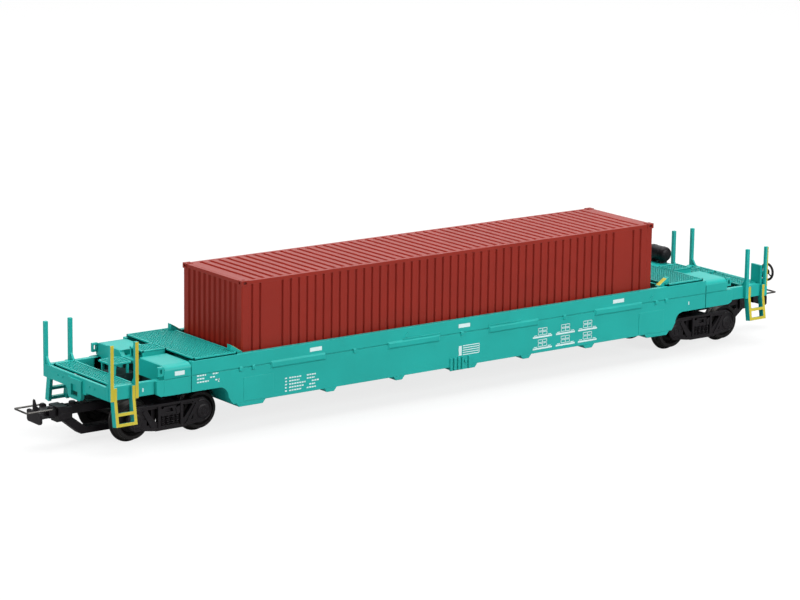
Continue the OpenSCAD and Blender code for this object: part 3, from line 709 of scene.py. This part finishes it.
def centre_sill():
    """Box girder with a flange and ribs along each side, and a bolster over the pivot."""
    shape = Shape()
    half, flange = 3.2, 3.9
    shape.box((BULKHEAD, -half, SILL_FLOOR), (HALF_L + 0.05, half, DECK_TOP - 0.95))
    shape.box((HALF_L, -half + 0.02, SILL_FLOOR + 0.02), (FACE - 0.9, half - 0.02, TOP - 0.52))
    for s in (-1, 1):
        shape.span((BULKHEAD + 0.05, FACE - 0.95), (s * half, s * flange),
            (SILL_FLOOR - 0.02, SILL_FLOOR + 0.5))
        for x in (BULKHEAD + 3, BULKHEAD + 8, HALF_L + 3, HALF_L + 8):
            shape.prism([(s * 3.1, SILL_FLOOR + 0.3), (s * 3.8, SILL_FLOOR + 0.3), (s * 3.3, 15.0),
                (s * 3.1, 15.0)], "x", x, x + 0.5)
        shape.span((PIVOT - 3, PIVOT + 3), (s * 3.1, s * (INNER - 0.03)), (ARCH_TOP, DECK_TOP - 0.98))
    return shape


def end_sill():
    """Beam across the end, deeper in the middle, with the coupler's pocket and four bolts."""
    shape = Shape()
    shape.prism([(-RAIL_IN, RAIL_LOW), (-5.2, RAIL_LOW), (-4.6, 12.1), (4.6, 12.1), (5.2, RAIL_LOW),
        (RAIL_IN, RAIL_LOW), (RAIL_IN, TOP), (-RAIL_IN, TOP)], "x", FACE - 0.9, FACE)
    pocket = [(-3.3, TOP - 0.6), (-3.3, 11.0), (-2.6, SILL_FLOOR), (2.6, SILL_FLOOR), (3.3, 11.0),
        (3.3, TOP - 0.6)]
    shape.prism(pocket, "x", FACE - 0.5, FACE + 0.6,
        holes=[[(-1.6, 11.1), (1.6, 11.1), (1.6, 14.05), (-1.6, 14.05)]])
    shape.box((FACE - 0.7, -2.4, 10.6), (FACE - 0.2, 2.4, 14.4), 1)
    for y in (-9, 6.5, 9, -6.5):
        shape.disc((FACE, y, 14.6), "x", 0.3, -0.1, 0.22, 12, bevel=0.1)
    return shape


def platform_rails():
    """Side rails of the platform, each with a chamfered block against the body."""
    shape = Shape()
    start, step_out = HALF_L - 0.05, HALF_L + 0.9
    shape.box((start, -POST_IN, RAIL_LOW), (FACE, -RAIL_IN, TOP + 0.1))
    shape.prism([(start, 12.0), (step_out, 12.0), (HALF_L + 2.2, RAIL_LOW), (HALF_L + 2.2, 16.2),
        (step_out, 16.3), (start, 16.3)], "y", -SIDE + 0.05, -RAIL_IN)
    return shape.both_sides()


at_ends("end_deck_shell", end_deck(), [TEAL], "end_deck", "teal_plastic", bevel=0.3)
# the girder takes the near-black underside colour, which is painted shade
at_ends("centre_sill_girder", centre_sill(), [UNDER_SHADE], "centre_sill", "dark_teal_plastic", bevel=0.1)
at_ends("end_sill_beam", end_sill(), [TEAL, TEAL_DARK], "end_sill", "teal_plastic", bevel=0.14)
at_ends("platform_side_rails", platform_rails(), [TEAL], "platform_rails", "teal_plastic", bevel=0.12)


# ---- Walkways and steps ----

def grating(shape, x0, x1, y0, y1, top, thick, pitch_x, pitch_y, rim=0.45):
    """A moulded tread plate: a rim, and crossing bars over a deeper floor."""
    deep, bar = 0.34, 0.18
    shape.box((x0, y0, top - thick), (x1, y1, top - deep), 1)
    for a, b in (((x0, y0), (x1, y0 + rim)), ((x0, y1 - rim), (x1, y1)),
            ((x0, y0), (x0 + rim, y1)), ((x1 - rim, y0), (x1, y1))):
        shape.box((*a, top - thick), (*b, top))
    low, along, across = top - deep - 0.02, x1 - x0 - 2 * rim, y1 - y0 - 2 * rim
    count_x, count_y = round(along / pitch_x), round(across / pitch_y)
    for i in range(1, count_x):
        x = x0 + rim + i * along / count_x
        shape.box((x - bar / 2, y0 + rim, low), (x + bar / 2, y1 - rim, top - 0.06))
    for i in range(1, count_y):
        y = y0 + rim + i * across / count_y
        shape.box((x0 + rim, y - bar / 2, low), (x1 - rim, y + bar / 2, top - 0.09))


def walkway(low, high):
    """A tread plate that fills the box of its CAD node."""
    shape = Shape()
    grating(shape, low.x, high.x, low.y, high.y, high.z, 0.7, 0.86, 0.95)
    return shape


def middle_steps():
    """Two small treads on legs in the channel, the outer one lower."""
    shape = Shape()
    half, leg = 3.2, 0.6
    inner, outer, low_top = HALF_L + 1.2, STEP_HIGH.x, 18.7
    grating(shape, inner, outer, -half, half, low_top, 0.5, 0.9, 1.0, rim=0.4)
    grating(shape, STEP_LOW.x, HALF_L - 2, -half, half, STEP_HIGH.z, 0.5, 0.9, 1.0, rim=0.4)
    for s in (-1, 1):
        side = (s * half, s * (half - leg))
        for x in (inner + 1, outer - 1.6):
            shape.span((x, x + leg), side, (TOP - 0.4, low_top - 0.4))
        shape.span((STEP_LOW.x + 0.4, HALF_L - 2.1), side, (DECK_TOP - 0.1, STEP_HIGH.z - 0.3))
    return shape


at_ends("walkway_by_well", walkway(WALK_LOW, WALK_HIGH), [TEAL, TEAL_DARK], "well_walkway", "teal_plastic",
    bevel=0.04)
at_ends("walkway_over_end", walkway(ENDWALK_LOW, ENDWALK_HIGH), [TEAL, TEAL_DARK], "end_walkway",
    "teal_plastic", bevel=0.04)
at_ends("middle_steps", middle_steps(), [TEAL, TEAL_DARK], "steps", "teal_plastic", bevel=0.05)


# ---- Posts, ladders, guides and brackets ----

POST_XS = (POST_LOW.x + 0.5, POST_HIGH.x - 0.5)
POST_HALF = 0.5
LADDER_FOOT = 6.0  # height of the ladder's lowest point on the post's line
LADDER_TILT = Matrix.Rotation(math.radians(-9), 4, "X")


def handrail_posts(side):
    """Posts with gussets. Their outer faces are yellow, but at the brake's end only one edge is."""
    shape = Shape()
    high = POST_HIGH.z
    for sy in (-1, 1):
        for i, x in enumerate(POST_XS):
            post = Shape()
            post.box((x - POST_HALF, -POST_OUT, RAIL_LOW), (x + POST_HALF, -POST_IN, high))
            post.prism([(-15.6, TOP + 0.1), (-13.9, TOP + 0.1), (-14.3, TOP + 0.5), (-15.2, TOP + 1.7),
                (-15.6, TOP + 1.9)], "x", x - 0.3, x + 0.3)
            if side < 0:
                post.box((x - 0.48, -POST_OUT - 0.04, RAIL_LOW + 0.03),
                    (x + 0.48, -POST_OUT + 0.05, high - 0.02), 1)
            elif i == 1:
                post.box((x + 0.1, -POST_OUT - 0.03, 15.6), (x + 0.52, -POST_OUT + 0.5, high - 0.02), 1)
            shape.join(post.copy(scale=(1, -sy, 1)))
    return shape


def ladder():
    """Deep stiles and two rungs, slanting out below the platform, with yellow outer faces."""
    x0, x1 = POST_XS[0] + POST_HALF, POST_XS[1] - POST_HALF
    wide, deep, foot = 0.9, 0.8, LADDER_FOOT - RAIL_LOW
    lower = Shape()
    for x in (x0, x1 - wide):
        lower.box((x, -0.96, foot), (x + wide, deep, 0.02))
        lower.box((x + 0.02, -1.0, foot + 0.02), (x + wide - 0.02, -0.92, 0.02), 1)
    for z in (foot, foot + 2.7):
        lower.box((x0 + 0.5, -0.9, z), (x1 - 0.5, -0.02, z + 0.8))
        lower.box((x0 + 0.5, -0.98, z + 0.02), (x1 - 0.5, -0.85, z + 0.82), 1)
    hang = Vector((0, -POST_IN, RAIL_LOW))
    lower.points = [LADDER_TILT @ p + hang for p in lower.points]
    shape = Shape().join(lower)
    for x in (x0, x1 - wide):
        shape.box((x + 0.01, -POST_OUT + 0.04, RAIL_LOW - 0.05), (x + wide - 0.01, -POST_IN, TOP))
        shape.box((x + 0.02, -POST_OUT, RAIL_LOW - 0.05), (x + wide - 0.02, -POST_OUT + 0.08, TOP - 0.02), 1)
    return shape.both_sides()


def loading_guides():
    """Ramps on the walls that lead the container in, with a yellow film on the slope."""
    shape = Shape()
    y0, y1 = -INNER + 0.2, -INNER + 1.8
    x0, x1, z0, z1 = GUIDE_LOW.x, GUIDE_HIGH.x, SIDE_TOP, GUIDE_HIGH.z
    shape.prism([(x0, z0), (x1 - 1.5, z0), (x1 - 1.5, z0 + 0.72), (x1, z0 + 0.72), (x1, z1)], "y", y0, y1)
    run, rise = x1 - x0, z1 - z0
    slope, length = rise / run, math.hypot(run, rise)
    film, lift_x, lift_z = 0.05, -rise / length, run / length
    ends = [(x0 + u, z0 + u * slope) for u in (0.4, run - 0.7)]
    raised = [(x + lift_x * film, z + lift_z * film) for x, z in reversed(ends)]
    shape.prism([(x, z - 0.02) for x, z in ends] + raised, "y", y0 + 0.05, y1 - 0.05, 1)
    return shape.both_sides()


def corner_eyes():
    """Small frames on the end faces."""
    shape = Shape()
    x0, x1 = BRACKET_LOW.x - 0.05, BRACKET_HIGH.x
    z0, z1 = BRACKET_LOW.z, BRACKET_HIGH.z
    hole = [(x0 + 0.55, z0 + 0.6), (x1 - 0.5, z0 + 0.6), (x1 - 0.5, z1 - 0.6), (x0 + 0.55, z1 - 0.6)]
    shape.prism([(x0, z0), (x1, z0), (x1, z1), (x0, z1)], "y", -SIDE + 0.2, -SIDE + 1.0, holes=[hole])
    return shape.both_sides()


for letter, side in ENDS:
    piece(f"handrail_posts_{letter}", handrail_posts(side).copy(scale=(side, 1, 1)), [TEAL, YELLOW],
        "wagon_body", [f"posts_{letter}"], "teal_plastic", bevel=0.08)
at_ends("ladder_frames", ladder(), [TEAL, YELLOW], "ladders", "yellow_paint", bevel=0.05)
at_ends("loading_guides", loading_guides(), [TEAL, YELLOW], "container_guides", "yellow_paint", bevel=0.03)
at_ends("corner_eyes", corner_eyes(), [TEAL], "corner_brackets", "teal_plastic", bevel=0.1)


# ---- Brake gear and air tank ----

HAND_Y = (HAND_LOW.y + HAND_HIGH.y) / 2
HAND_Z = (HAND_LOW.z + HAND_HIGH.z) / 2
HAND_R = 2.7


def brake_case():
    """Upright box with a raised panel, and the shaft of the hand wheel with its collar."""
    shape = Shape()
    x, y0, y1, high = HOUSING_LOW.x, HOUSING_LOW.y, HOUSING_HIGH.y, HOUSING_HIGH.z
    shape.box((x, y0, TOP + 0.1), (x + 0.75, y1, high))
    shape.prism([(y0 + 0.4, TOP + 0.5), (y1 - 0.4, TOP + 0.5), (y1 - 0.4, high - 0.9), (y1 - 0.9, high - 0.4),
        (y0 + 0.9, high - 0.4), (y0 + 0.4, high - 0.9)], "x", x + 0.7, x + 1.05)
    shape.disc((0, HAND_Y, HAND_Z), "x", 0.9, x + 1.0, x + 1.35, 24, bevel=0.1)
    shape.disc((0, HAND_Y, HAND_Z), "x", 0.5, x + 1.0, HOUSING_HIGH.x, 20, bevel=0.08)
    return shape


def hand_wheel():
    """Round rim, hub and three spokes."""
    shape = Shape()
    rim, middle = 0.36, HAND_HIGH.x - 0.45
    ring = circle(HAND_Y, HAND_Z, HAND_R - rim, HAND_R - rim, 48)
    shape.pipe([(middle, y, z) for y, z in ring], rim, 12, closed=True)
    shape.disc((0, HAND_Y, HAND_Z), "x", 0.75, HAND_LOW.x, HAND_HIGH.x - 0.02, 20, bevel=0.15)
    hub = Vector((middle, HAND_Y, HAND_Z))
    for a in (90, 210, 330):
        d = Vector((0, math.cos(math.radians(a)), math.sin(math.radians(a))))
        shape.pipe([hub + d * 0.5, hub + d * 1.4 - Vector((0.12, 0, 0)), hub + d * 2.4], 0.2)
    return shape


def air_tank():
    """Tank across the wagon with domed ends and weld rims, on two saddles with straps."""
    shape = Shape()
    x, z = (TANK_LOW.x + TANK_HIGH.x) / 2, TANK_HIGH.z - 2.2
    y0, y1 = TANK_LOW.y, TANK_HIGH.y
    dome = [(0, 0), (0.9, 0.03), (1.55, 0.2), (2.0, 0.55), (2.17, 0.95), (2.17, 1.1), (2.2, 1.12), (2.2, 1.3),
        (2.15, 1.33)]
    profile = [(r, y0 + t) for r, t in dome]
    shape.turned(profile + [(r, y1 - t) for r, t in reversed(dome)], (x, 0, z), "y", 48)
    shape.disc((x, 0, z), "y", 0.45, y0 + 0.3, y0, 16)
    for y in (y0 + 1.6, y1 - 2.4):
        shape.box((x - 1.4, y, SHOULDER_TOP), (x + 1.4, y + 0.8, z - 0.9))
        strap = circle(x, z, 2.12, 2.12, 40)
        shape.pipe([(u, y + 0.4, v) for u, v in strap], 0.12, 8, closed=True)
    return shape


piece("brake_case", brake_case(), [TEAL], "wagon_body", ["brake_housing"], "teal_plastic", bevel=0.12)
piece("brake_hand_wheel", hand_wheel(), [BLACK], "wagon_body", ["hand_wheel"], "black_plastic", bevel=0,
    angle=50)
piece("air_reservoir", air_tank(), [BLACK], "wagon_body", ["air_tank"], "black_plastic", bevel=0.06)


# ---- Bogies, drawn about the pivot ----

PLATE = (-11.55, -10.6)  # outer and inner faces of the side frame
RIB_ROOT = -11.5  # ribs start just inside the frame's outer face


def frame_outline():
    """Side frame: large rounded ends over the axle boxes, a deep middle."""
    end = arc(9.5, AXLE_Z + 0.35, 3.1, (-72, -60, -45, -30, -15, 0, 15, 30, 45, 60))
    half = [(4.4, FRAME_LOW), (5.6, FRAME_LOW + 0.12), (8.2, 2.35), *end, (10.3, FRAME_TOP - 0.15),
        (9.4, FRAME_TOP)]
    return symmetric(half)


def side_frame(shape):
    """The frame's plate with its openings, and the raised ribs on it."""
    window = [(-3.0, 2.9), (3.0, 2.9), (3.0, 8.0), (-3.0, 8.0)]
    triangles = [[(s * 3.8, 7.7), (s * 6.8, 7.6), (s * 6.8, 7.2), (s * 4.3, 4.2), (s * 3.8, 4.0)]
        for s in (-1, 1)]
    slots = [circle(s * 6.7, 4.2, 0.4, 0.8, 12) for s in (-1, 1)]
    bores = [circle(x, AXLE_Z, 0.7, 0.7, 24) for x in AXLES]
    shape.prism(frame_outline(), "y", *PLATE, holes=[window, *triangles, *slots, *bores])

    def rib(outline, front):
        shape.prism(outline, "y", front, RIB_ROOT)

    rib([(-9.2, FRAME_TOP), (-10.2, 8.3), (10.2, 8.3), (9.2, FRAME_TOP)], -11.88)
    rib([(-4.6, FRAME_LOW), (4.6, FRAME_LOW), (5.4, 2.6), (-5.4, 2.6)], -11.88)
    for s in (-1, 1):
        rib([(s * 3.0, 2.5), (s * 3.75, 2.5), (s * 3.75, 8.35), (s * 3.0, 8.35)], -11.86)
        rib([(s * 4.5, 2.4), (s * 5.4, 2.2), (s * 8.4, 7.2), (s * 7.8, 7.7)], -11.84)
        rib([(s * 5.2, 2.1), (s * 8.2, 2.5), (s * 8.9, 3.1), (s * 5.6, 2.8)], -11.82)
        axle_box(shape, s)
        # friction wedge beside the springs
        shape.prism([(s * 2.95, 5.6), (s * 2.0, 5.6), (s * 1.7, 7.0), (s * 2.95, 7.6)], "y", -11.7, -10.8)


def axle_box(shape, s):
    """Axle box with its cover, cap and bolts, in a rounded rim."""
    x = s * AXLES[0]
    cover = [(0, -11.4), (1.95, -11.4), (1.95, -11.72), (1.75, -11.84), (1.2, -11.84), (1.1, -11.72),
        (0.7, -11.72), (0.6, -11.87), (0, -11.88)]
    shape.turned(cover, (x, 0, AXLE_Z), "y", 32)
    for u, v in circle(x, AXLE_Z, 1.5, 1.5, 6):
        shape.disc((u, 0, v), "y", 0.2, -11.7, -11.89, 8)
    rim = arc(0, AXLE_Z + 0.35, 2.75, range(-70, 111, 10))
    shape.pipe([(x - s * 0.5 + s * u, PLATE[0], v) for u, v in rim], 0.27, 8)


def coil(shape, x, y, r, wire):
    """A spring of five turns between the frame's sill and the bolster."""
    z0, z1, turns, points = 2.9, 5.55, 5, 14
    steps = turns * points
    path = [(*circle(x, y, r, r, points)[i % points], z0 + (z1 - z0) * i / steps) for i in range(steps + 1)]
    shape.pipe(path, wire, 6)


def spring_nest(shape):
    """Two rows of springs before a back plate, under the bolster's end."""
    for x in (-2.2, -0.75, 0.75, 2.2):
        coil(shape, x, -11.15, 0.52, 0.17)
    for x in (-1.5, 0, 1.5):
        coil(shape, x, -10.75, 0.45, 0.15)
    shape.box((-2.95, -10.72, 2.5), (2.95, -10.65, 8.3))
    shape.prism([(-2.6, 5.4), (2.6, 5.4), (2.6, 6.2), (1.7, 7.7), (-1.7, 7.7), (-2.6, 6.2)],
        "y", -11.5, -10.4, holes=[[(-1.0, 6.3), (1.0, 6.3), (0.8, 7.2), (-0.8, 7.2)]])


def bolster(shape):
    """Cross-beam with the pivot's disc and a side bearer at each side."""
    shape.prism([(-2.9, 5.6), (2.9, 5.6), (2.9, 8.3), (2.3, FRAME_TOP), (-2.3, FRAME_TOP), (-2.9, 8.3)],
        "y", -10.7, 10.7)
    shape.disc((0, 0, 0), "z", 2.8, FRAME_TOP - 0.1, 9.9, 40, bevel=0.12)
    for y in (-7.2, 7.2):
        shape.disc((0, y, 0), "z", 1.0, FRAME_TOP - 0.1, 9.2, 20, bevel=0.1)


def brake_rigging(shape):
    """Brake beams, with hangers and shoes just clear of the treads."""
    beam_x, half = 4.15, 0.25
    for s in (-1, 1):
        shape.box((s * beam_x - half, -6.9, 4.4), (s * beam_x + half, 6.9, 5.0))
        for y in (-9.5, 9.5):
            shape.prism([(s * 3.3, 8.4), (s * 4.0, 8.4), (s * 4.9, 7.0), (s * 4.85, 3.9), (s * 3.9, 3.6),
                (s * 3.5, 5.0)], "y", y - 0.8, y + 0.8)
    for s in (-1, 1):
        shape.span((s * 2.8, s * 4.0), (-0.4, 0.4), (5.0, 6.2))
        shape.box((s * beam_x - half, -0.4, 4.9), (s * beam_x + half, 0.4, 6.2))


def bogie_truck():
    right = Shape()
    side_frame(right)
    spring_nest(right)
    shape = right.both_sides()
    bolster(shape)
    brake_rigging(shape)
    return shape


def wheel_pair():
    """An axle with its two flanged wheels, turned as one shell. Treads have the second material."""
    flange, back, wide = FLANGE, 7.2, 2.8
    r = (WHEEL_HIGH.z - WHEEL_LOW.z) / 2 - flange
    front = back + wide
    axle = [(0.85, 0.0), (0.85, 4.5), (1.0, 6.3), (1.0, back - 0.35), (1.8, back - 0.3), (1.9, back + 0.4),
        (2.3, back + 0.85), (3.3, back + 1.05)]
    rim = [(r - 1.05, back + 0.7), (r - 0.95, back + 0.05), (r + flange - 0.35, back),
        (r + flange - 0.1, back + 0.12), (r + flange, back + 0.35), (r + flange - 0.15, back + 0.58),
        (r + 0.25, back + 0.75), (r + 0.02, back + 0.95), (r - 0.1, front - 0.15), (r - 0.22, front),
        (r - 0.95, front), (r - 1.1, front - 0.25), (r - 1.35, front - 0.85)]
    face = [(3.2, front - 1.15), (2.2, front - 0.9), (1.95, front - 0.35), (1.85, front), (1.1, front),
        (1.0, front + 0.2), (0.62, front + 0.3), (0.6, 11.2), (0.0, 11.25)]
    half = axle + rim + face
    shape = Shape()
    shape.turned([(u, -t) for u, t in reversed(half)] + half[1:], (0, 0, AXLE_Z), "y", 64)
    for i, corner in enumerate(shape.faces):
        c = sum((shape.points[k] for k in corner), Vector()) / len(corner)
        on_tread = abs(abs(c.y) - back - 1.7) < 1.1
        if on_tread and r - 0.12 < math.hypot(c.x, c.z - AXLE_Z) < r + 0.3:
            shape.mats[i] = 1
    return shape


for letter, side in ENDS:
    piece(f"bogie_truck_{letter}", bogie_truck().copy(scale=(side, 1, 1), move=(side * PIVOT, 0, 0)), [BLACK],
        f"bogie_{letter}", [f"bogie_frame_{letter}"], "black_plastic", bevel=0.08)
for letter, side in ENDS:
    for name, x in zip(("outer", "inner"), AXLES):
        shape = wheel_pair().copy(move=(side * (PIVOT + x), 0, 0))
        piece(f"wheel_pair_{letter}_{name}", shape, [WHEEL, TREAD],
            f"wheels_{letter}_{name}", [f"wheelset_{letter}_{name}"], "wheel_metal", bevel=0, angle=28)


# ---- Couplers and pivot screws ----

TIP_X = COUPLER_HIGH.x  # outer face of the coupler's plate
LOOP_X = TIP_X - 4  # the wire loop's pivot
SHANK_LOW, SHANK_TOP = 6.9, 9.1
SHANK_HALF = 1.5


def coupler_arm():
    """Shank with its stay below, carrier, plate, hook and the ears that hold the loop."""
    shape = Shape()
    root, stay = PIVOT + 2.9, COUPLER_LOW.z
    shape.prism([(root, stay), (FACE - 0.5, stay), (FACE + 4.6, 5.3), (FACE + 6.6, 5.3),
        (FACE + 6.6, SHANK_LOW), (TIP_X - 0.75, SHANK_LOW), (TIP_X - 0.75, SHANK_TOP), (root, SHANK_TOP)],
        "y", -SHANK_HALF, SHANK_HALF, holes=[[(root + 1.6, stay + 1.7), (FACE - 2, stay + 1.7),
        (FACE + 2, 6.0), (FACE + 2, SHANK_LOW), (root + 1.6, SHANK_LOW)]])
    # carrier, with its plate on top
    shape.prism([(-2.4, 6.0), (-2.0, 5.6), (2.0, 5.6), (2.4, 6.0), (2.4, SHANK_TOP), (-2.4, SHANK_TOP)],
        "x", FACE + 2.6, FACE + 6.58)
    shape.prism([(FACE + 4, -2.4), (FACE + 6.4, -2.4), (FACE + 7, -1.9), (FACE + 7, 1.9), (FACE + 6.4, 2.4),
        (FACE + 4, 2.4)], "z", 9.05, 9.5)
    # buffing plate
    shape.prism([(-3.3, 6.2), (-2.8, 5.7), (2.8, 5.7), (3.3, 6.2), (3.3, 8.4), (3.0, 8.8), (-3.0, 8.8),
        (-3.3, 8.4)], "x", TIP_X - 0.8, TIP_X)
    shape.prism([(-2.7, 7.0), (2.7, 7.0), (2.4, 8.6), (-2.4, 8.6)], "x", TIP_X - 1.6, TIP_X - 0.7)
    for s in (-1, 1):
        ear = sorted((s * SHANK_HALF, s * 2.55))
        shape.prism([(LOOP_X - 0.8, SHANK_LOW), (LOOP_X + 0.8, SHANK_LOW), (LOOP_X + 0.8, 9.5),
            (LOOP_X + 0.4, 9.9), (LOOP_X - 0.4, 9.9), (LOOP_X - 0.8, 9.5)], "y", *ear)
        shape.span((LOOP_X - 0.8, TIP_X - 0.6), (s * 1.4, s * 2.4), (SHANK_LOW + 0.05, 7.6))
        shape.span((FACE + 3.2, FACE + 6), (s * 2.35, s * 2.5), (6.4, 7.6))
    # hook
    shape.prism([(TIP_X - 2.1, 9.0), (TIP_X - 0.75, 9.0), (TIP_X - 0.75, 8.6), (TIP_X, 8.6),
        (TIP_X - 0.1, 11.4), (TIP_X - 0.3, 11.9), (TIP_X - 0.5, 11.7), (TIP_X - 0.95, 10.0)], "y", -0.4, 0.4)
    shape.disc((FACE + 1.2, 0, 0), "z", 0.9, 8.9, 9.9, 20, bevel=0.15)
    return shape


def coupler_loop():
    """Wire bow with rounded corners, from ear to ear."""
    shape = Shape()
    reach, half, z = 7.6, 3.1, 9.3
    path = [(LOOP_X, -half + 0.55, z), (LOOP_X, -half + 0.2, z), (LOOP_X + 0.06, -half + 0.05, z),
        (LOOP_X + 0.3, -half, z)]
    path += [(LOOP_X + reach * t, -half, z) for t in (0.2, 0.5, 0.8, 0.93)]
    path += [(LOOP_X + reach - 0.15, -half + 0.07, z), (LOOP_X + reach, -half + 0.3, z)]
    shape.pipe(path + [(u, -v, w) for u, v, w in reversed(path)], 0.25, 12)
    return shape


def pivot_screw():
    """Screw with a domed head below, crossed by its slots."""
    shape = Shape()
    shape.turned([(0, 4.5), (1.5, 4.5), (2.05, 4.75), (2.2, 5.1), (2.2, 5.3), (1.2, 5.3), (1.2, 10.15),
        (0, 10.15)], (PIVOT, 0, 0), "z", 36)
    # the slots are thin near-black plates on the head, painted shade, not cut into it
    for half_x, half_y in ((1.5, 0.2), (0.2, 1.5)):
        shape.box((PIVOT - half_x, -half_y, 4.48), (PIVOT + half_x, half_y, 4.6), 1)
    return shape


at_ends("coupler_arm", coupler_arm(), [BLACK], "coupler", "black_plastic", body="bogie", bevel=0.1)
at_ends("coupler_wire", coupler_loop(), [WIRE], "coupler_loop", "steel_wire", body="loop", bevel=0, angle=60)
at_ends("pivot_screw", pivot_screw(), [CHROME, SLOT_SHADE], "kingpin", "steel_wire", bevel=0, angle=35)

# The container's floor keeps its CAD shape
floor_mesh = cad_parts["container_floor"].data
floor_mesh.materials.clear()
floor_mesh.materials.append(RUST_DARK)


# ---- Stage, light and camera ----

FLOOR_TONE = 0.86  # the floor as the camera sees it
FLOOR_BOUNCE = 0.36  # and as light thrown back from it finds it
FLOOR_GLOW = 0.78  # share of plain white that the camera sees in it
FLOOR_HALF = 6  # metres
SKY_LIGHT = 0.42  # light from the surroundings; the camera sees them white


def stage_material():
    """The floor: near white to the camera, where only its shadows show, and darker in what it throws back."""
    mat = bpy.data.materials.new("floor_look")
    mat.use_nodes = True
    tree, link = mat.node_tree, mat.node_tree.links.new
    shader = tree.nodes["Principled BSDF"]
    shader.inputs["Roughness"].default_value = 0.9
    shader.inputs["Specular IOR Level"].default_value = 0.1
    light = node(tree, "Emission", Color=(1, 1, 1, 1), Strength=1.0)
    seen = node(tree, "LightPath").outputs["Is Camera Ray"]
    tone = node(tree, "Mix")
    tone.data_type = "RGBA"
    tone.inputs["A"].default_value = (FLOOR_BOUNCE, FLOOR_BOUNCE, FLOOR_BOUNCE, 1)
    tone.inputs["B"].default_value = (FLOOR_TONE, FLOOR_TONE, FLOOR_TONE, 1)
    link(seen, tone.inputs["Factor"])
    link(tone.outputs["Result"], shader.inputs["Base Color"])
    share = node(tree, "Math")
    share.operation = "MULTIPLY"
    share.inputs[1].default_value = FLOOR_GLOW
    link(seen, share.inputs[0])
    mix = node(tree, "MixShader")
    link(share.outputs[0], mix.inputs["Fac"])
    link(shader.outputs["BSDF"], mix.inputs[1])
    link(light.outputs["Emission"], mix.inputs[2])
    link(mix.outputs["Shader"], tree.nodes["Material Output"].inputs["Surface"])
    return mat


scene = bpy.context.scene
scene.view_settings.view_transform = "Standard"

ground = bpy.data.meshes.new("floor")
floor_corners = [(sx * FLOOR_HALF, sy * FLOOR_HALF, 0) for sx, sy in ((-1, -1), (1, -1), (1, 1), (-1, 1))]
ground.from_pydata(floor_corners, [], [(0, 1, 2, 3)])
ground.materials.append(stage_material())
ground_object = bpy.data.objects.new("floor", ground)
scene.collection.objects.link(ground_object)

world = bpy.data.worlds.new("studio")
scene.world = world
world.use_nodes = True
tree, link = world.node_tree, world.node_tree.links.new
sky = tree.nodes["Background"]
sky.inputs["Strength"].default_value = SKY_LIGHT
white = node(tree, "Background", Strength=1.0)
ray = node(tree, "LightPath")
blend = node(tree, "MixShader")
link(ray.outputs["Is Camera Ray"], blend.inputs["Fac"])
link(sky.outputs["Background"], blend.inputs[1])
link(white.outputs["Background"], blend.inputs[2])
link(blend.outputs["Shader"], tree.nodes["World Output"].inputs["Surface"])


def lamp(name, place, target, size, power):
    """A soft rectangular lamp, in metres and watts."""
    data = bpy.data.lights.new(name, "AREA")
    data.shape = "RECTANGLE"
    data.size, data.size_y = size
    data.energy = power
    obj = bpy.data.objects.new(name, data)
    scene.collection.objects.link(obj)
    obj.location = place
    obj.rotation_euler = (Vector(target) - Vector(place)).to_track_quat("-Z", "Y").to_euler()


lamp("overhead", (0.15, 0.15, 0.9), (0, 0, 0.02), (1.1, 0.8), 11)
lamp("side_fill", (0.35, -1.1, 0.55), (0, 0, 0.02), (0.9, 0.6), 12.5)
lamp("end_fill", (-1.1, -0.1, 0.45), (-0.05, 0, 0.03), (0.7, 0.6), 7.5)
lamp("back_sheen", (0.65, 0.8, 0.5), (0, 0, 0.03), (1.6, 0.6), 4.5)

CAMERA_PLACE = (-0.51233, -0.66901, 0.21255)
YAW, TILT, ROLL = (math.radians(a) for a in (-36.9293, 12.6846, 0.8123))
back = Vector((math.sin(YAW) * math.cos(TILT), -math.cos(YAW) * math.cos(TILT), math.sin(TILT)))
level = Vector((math.cos(YAW), math.sin(YAW), 0))
upward = back.cross(level)
across = math.cos(ROLL) * level + math.sin(ROLL) * upward
up = -math.sin(ROLL) * level + math.cos(ROLL) * upward
turn = Matrix((across, up, back)).transposed().to_4x4()
camera_data = bpy.data.cameras.new("camera")
camera_data.sensor_width = 36
camera_data.lens = 141.70
camera_data.clip_start = 0.01
camera = bpy.data.objects.new("camera", camera_data)
scene.collection.objects.link(camera)
camera.matrix_world = Matrix.Translation(CAMERA_PLACE) @ turn
scene.camera = camera
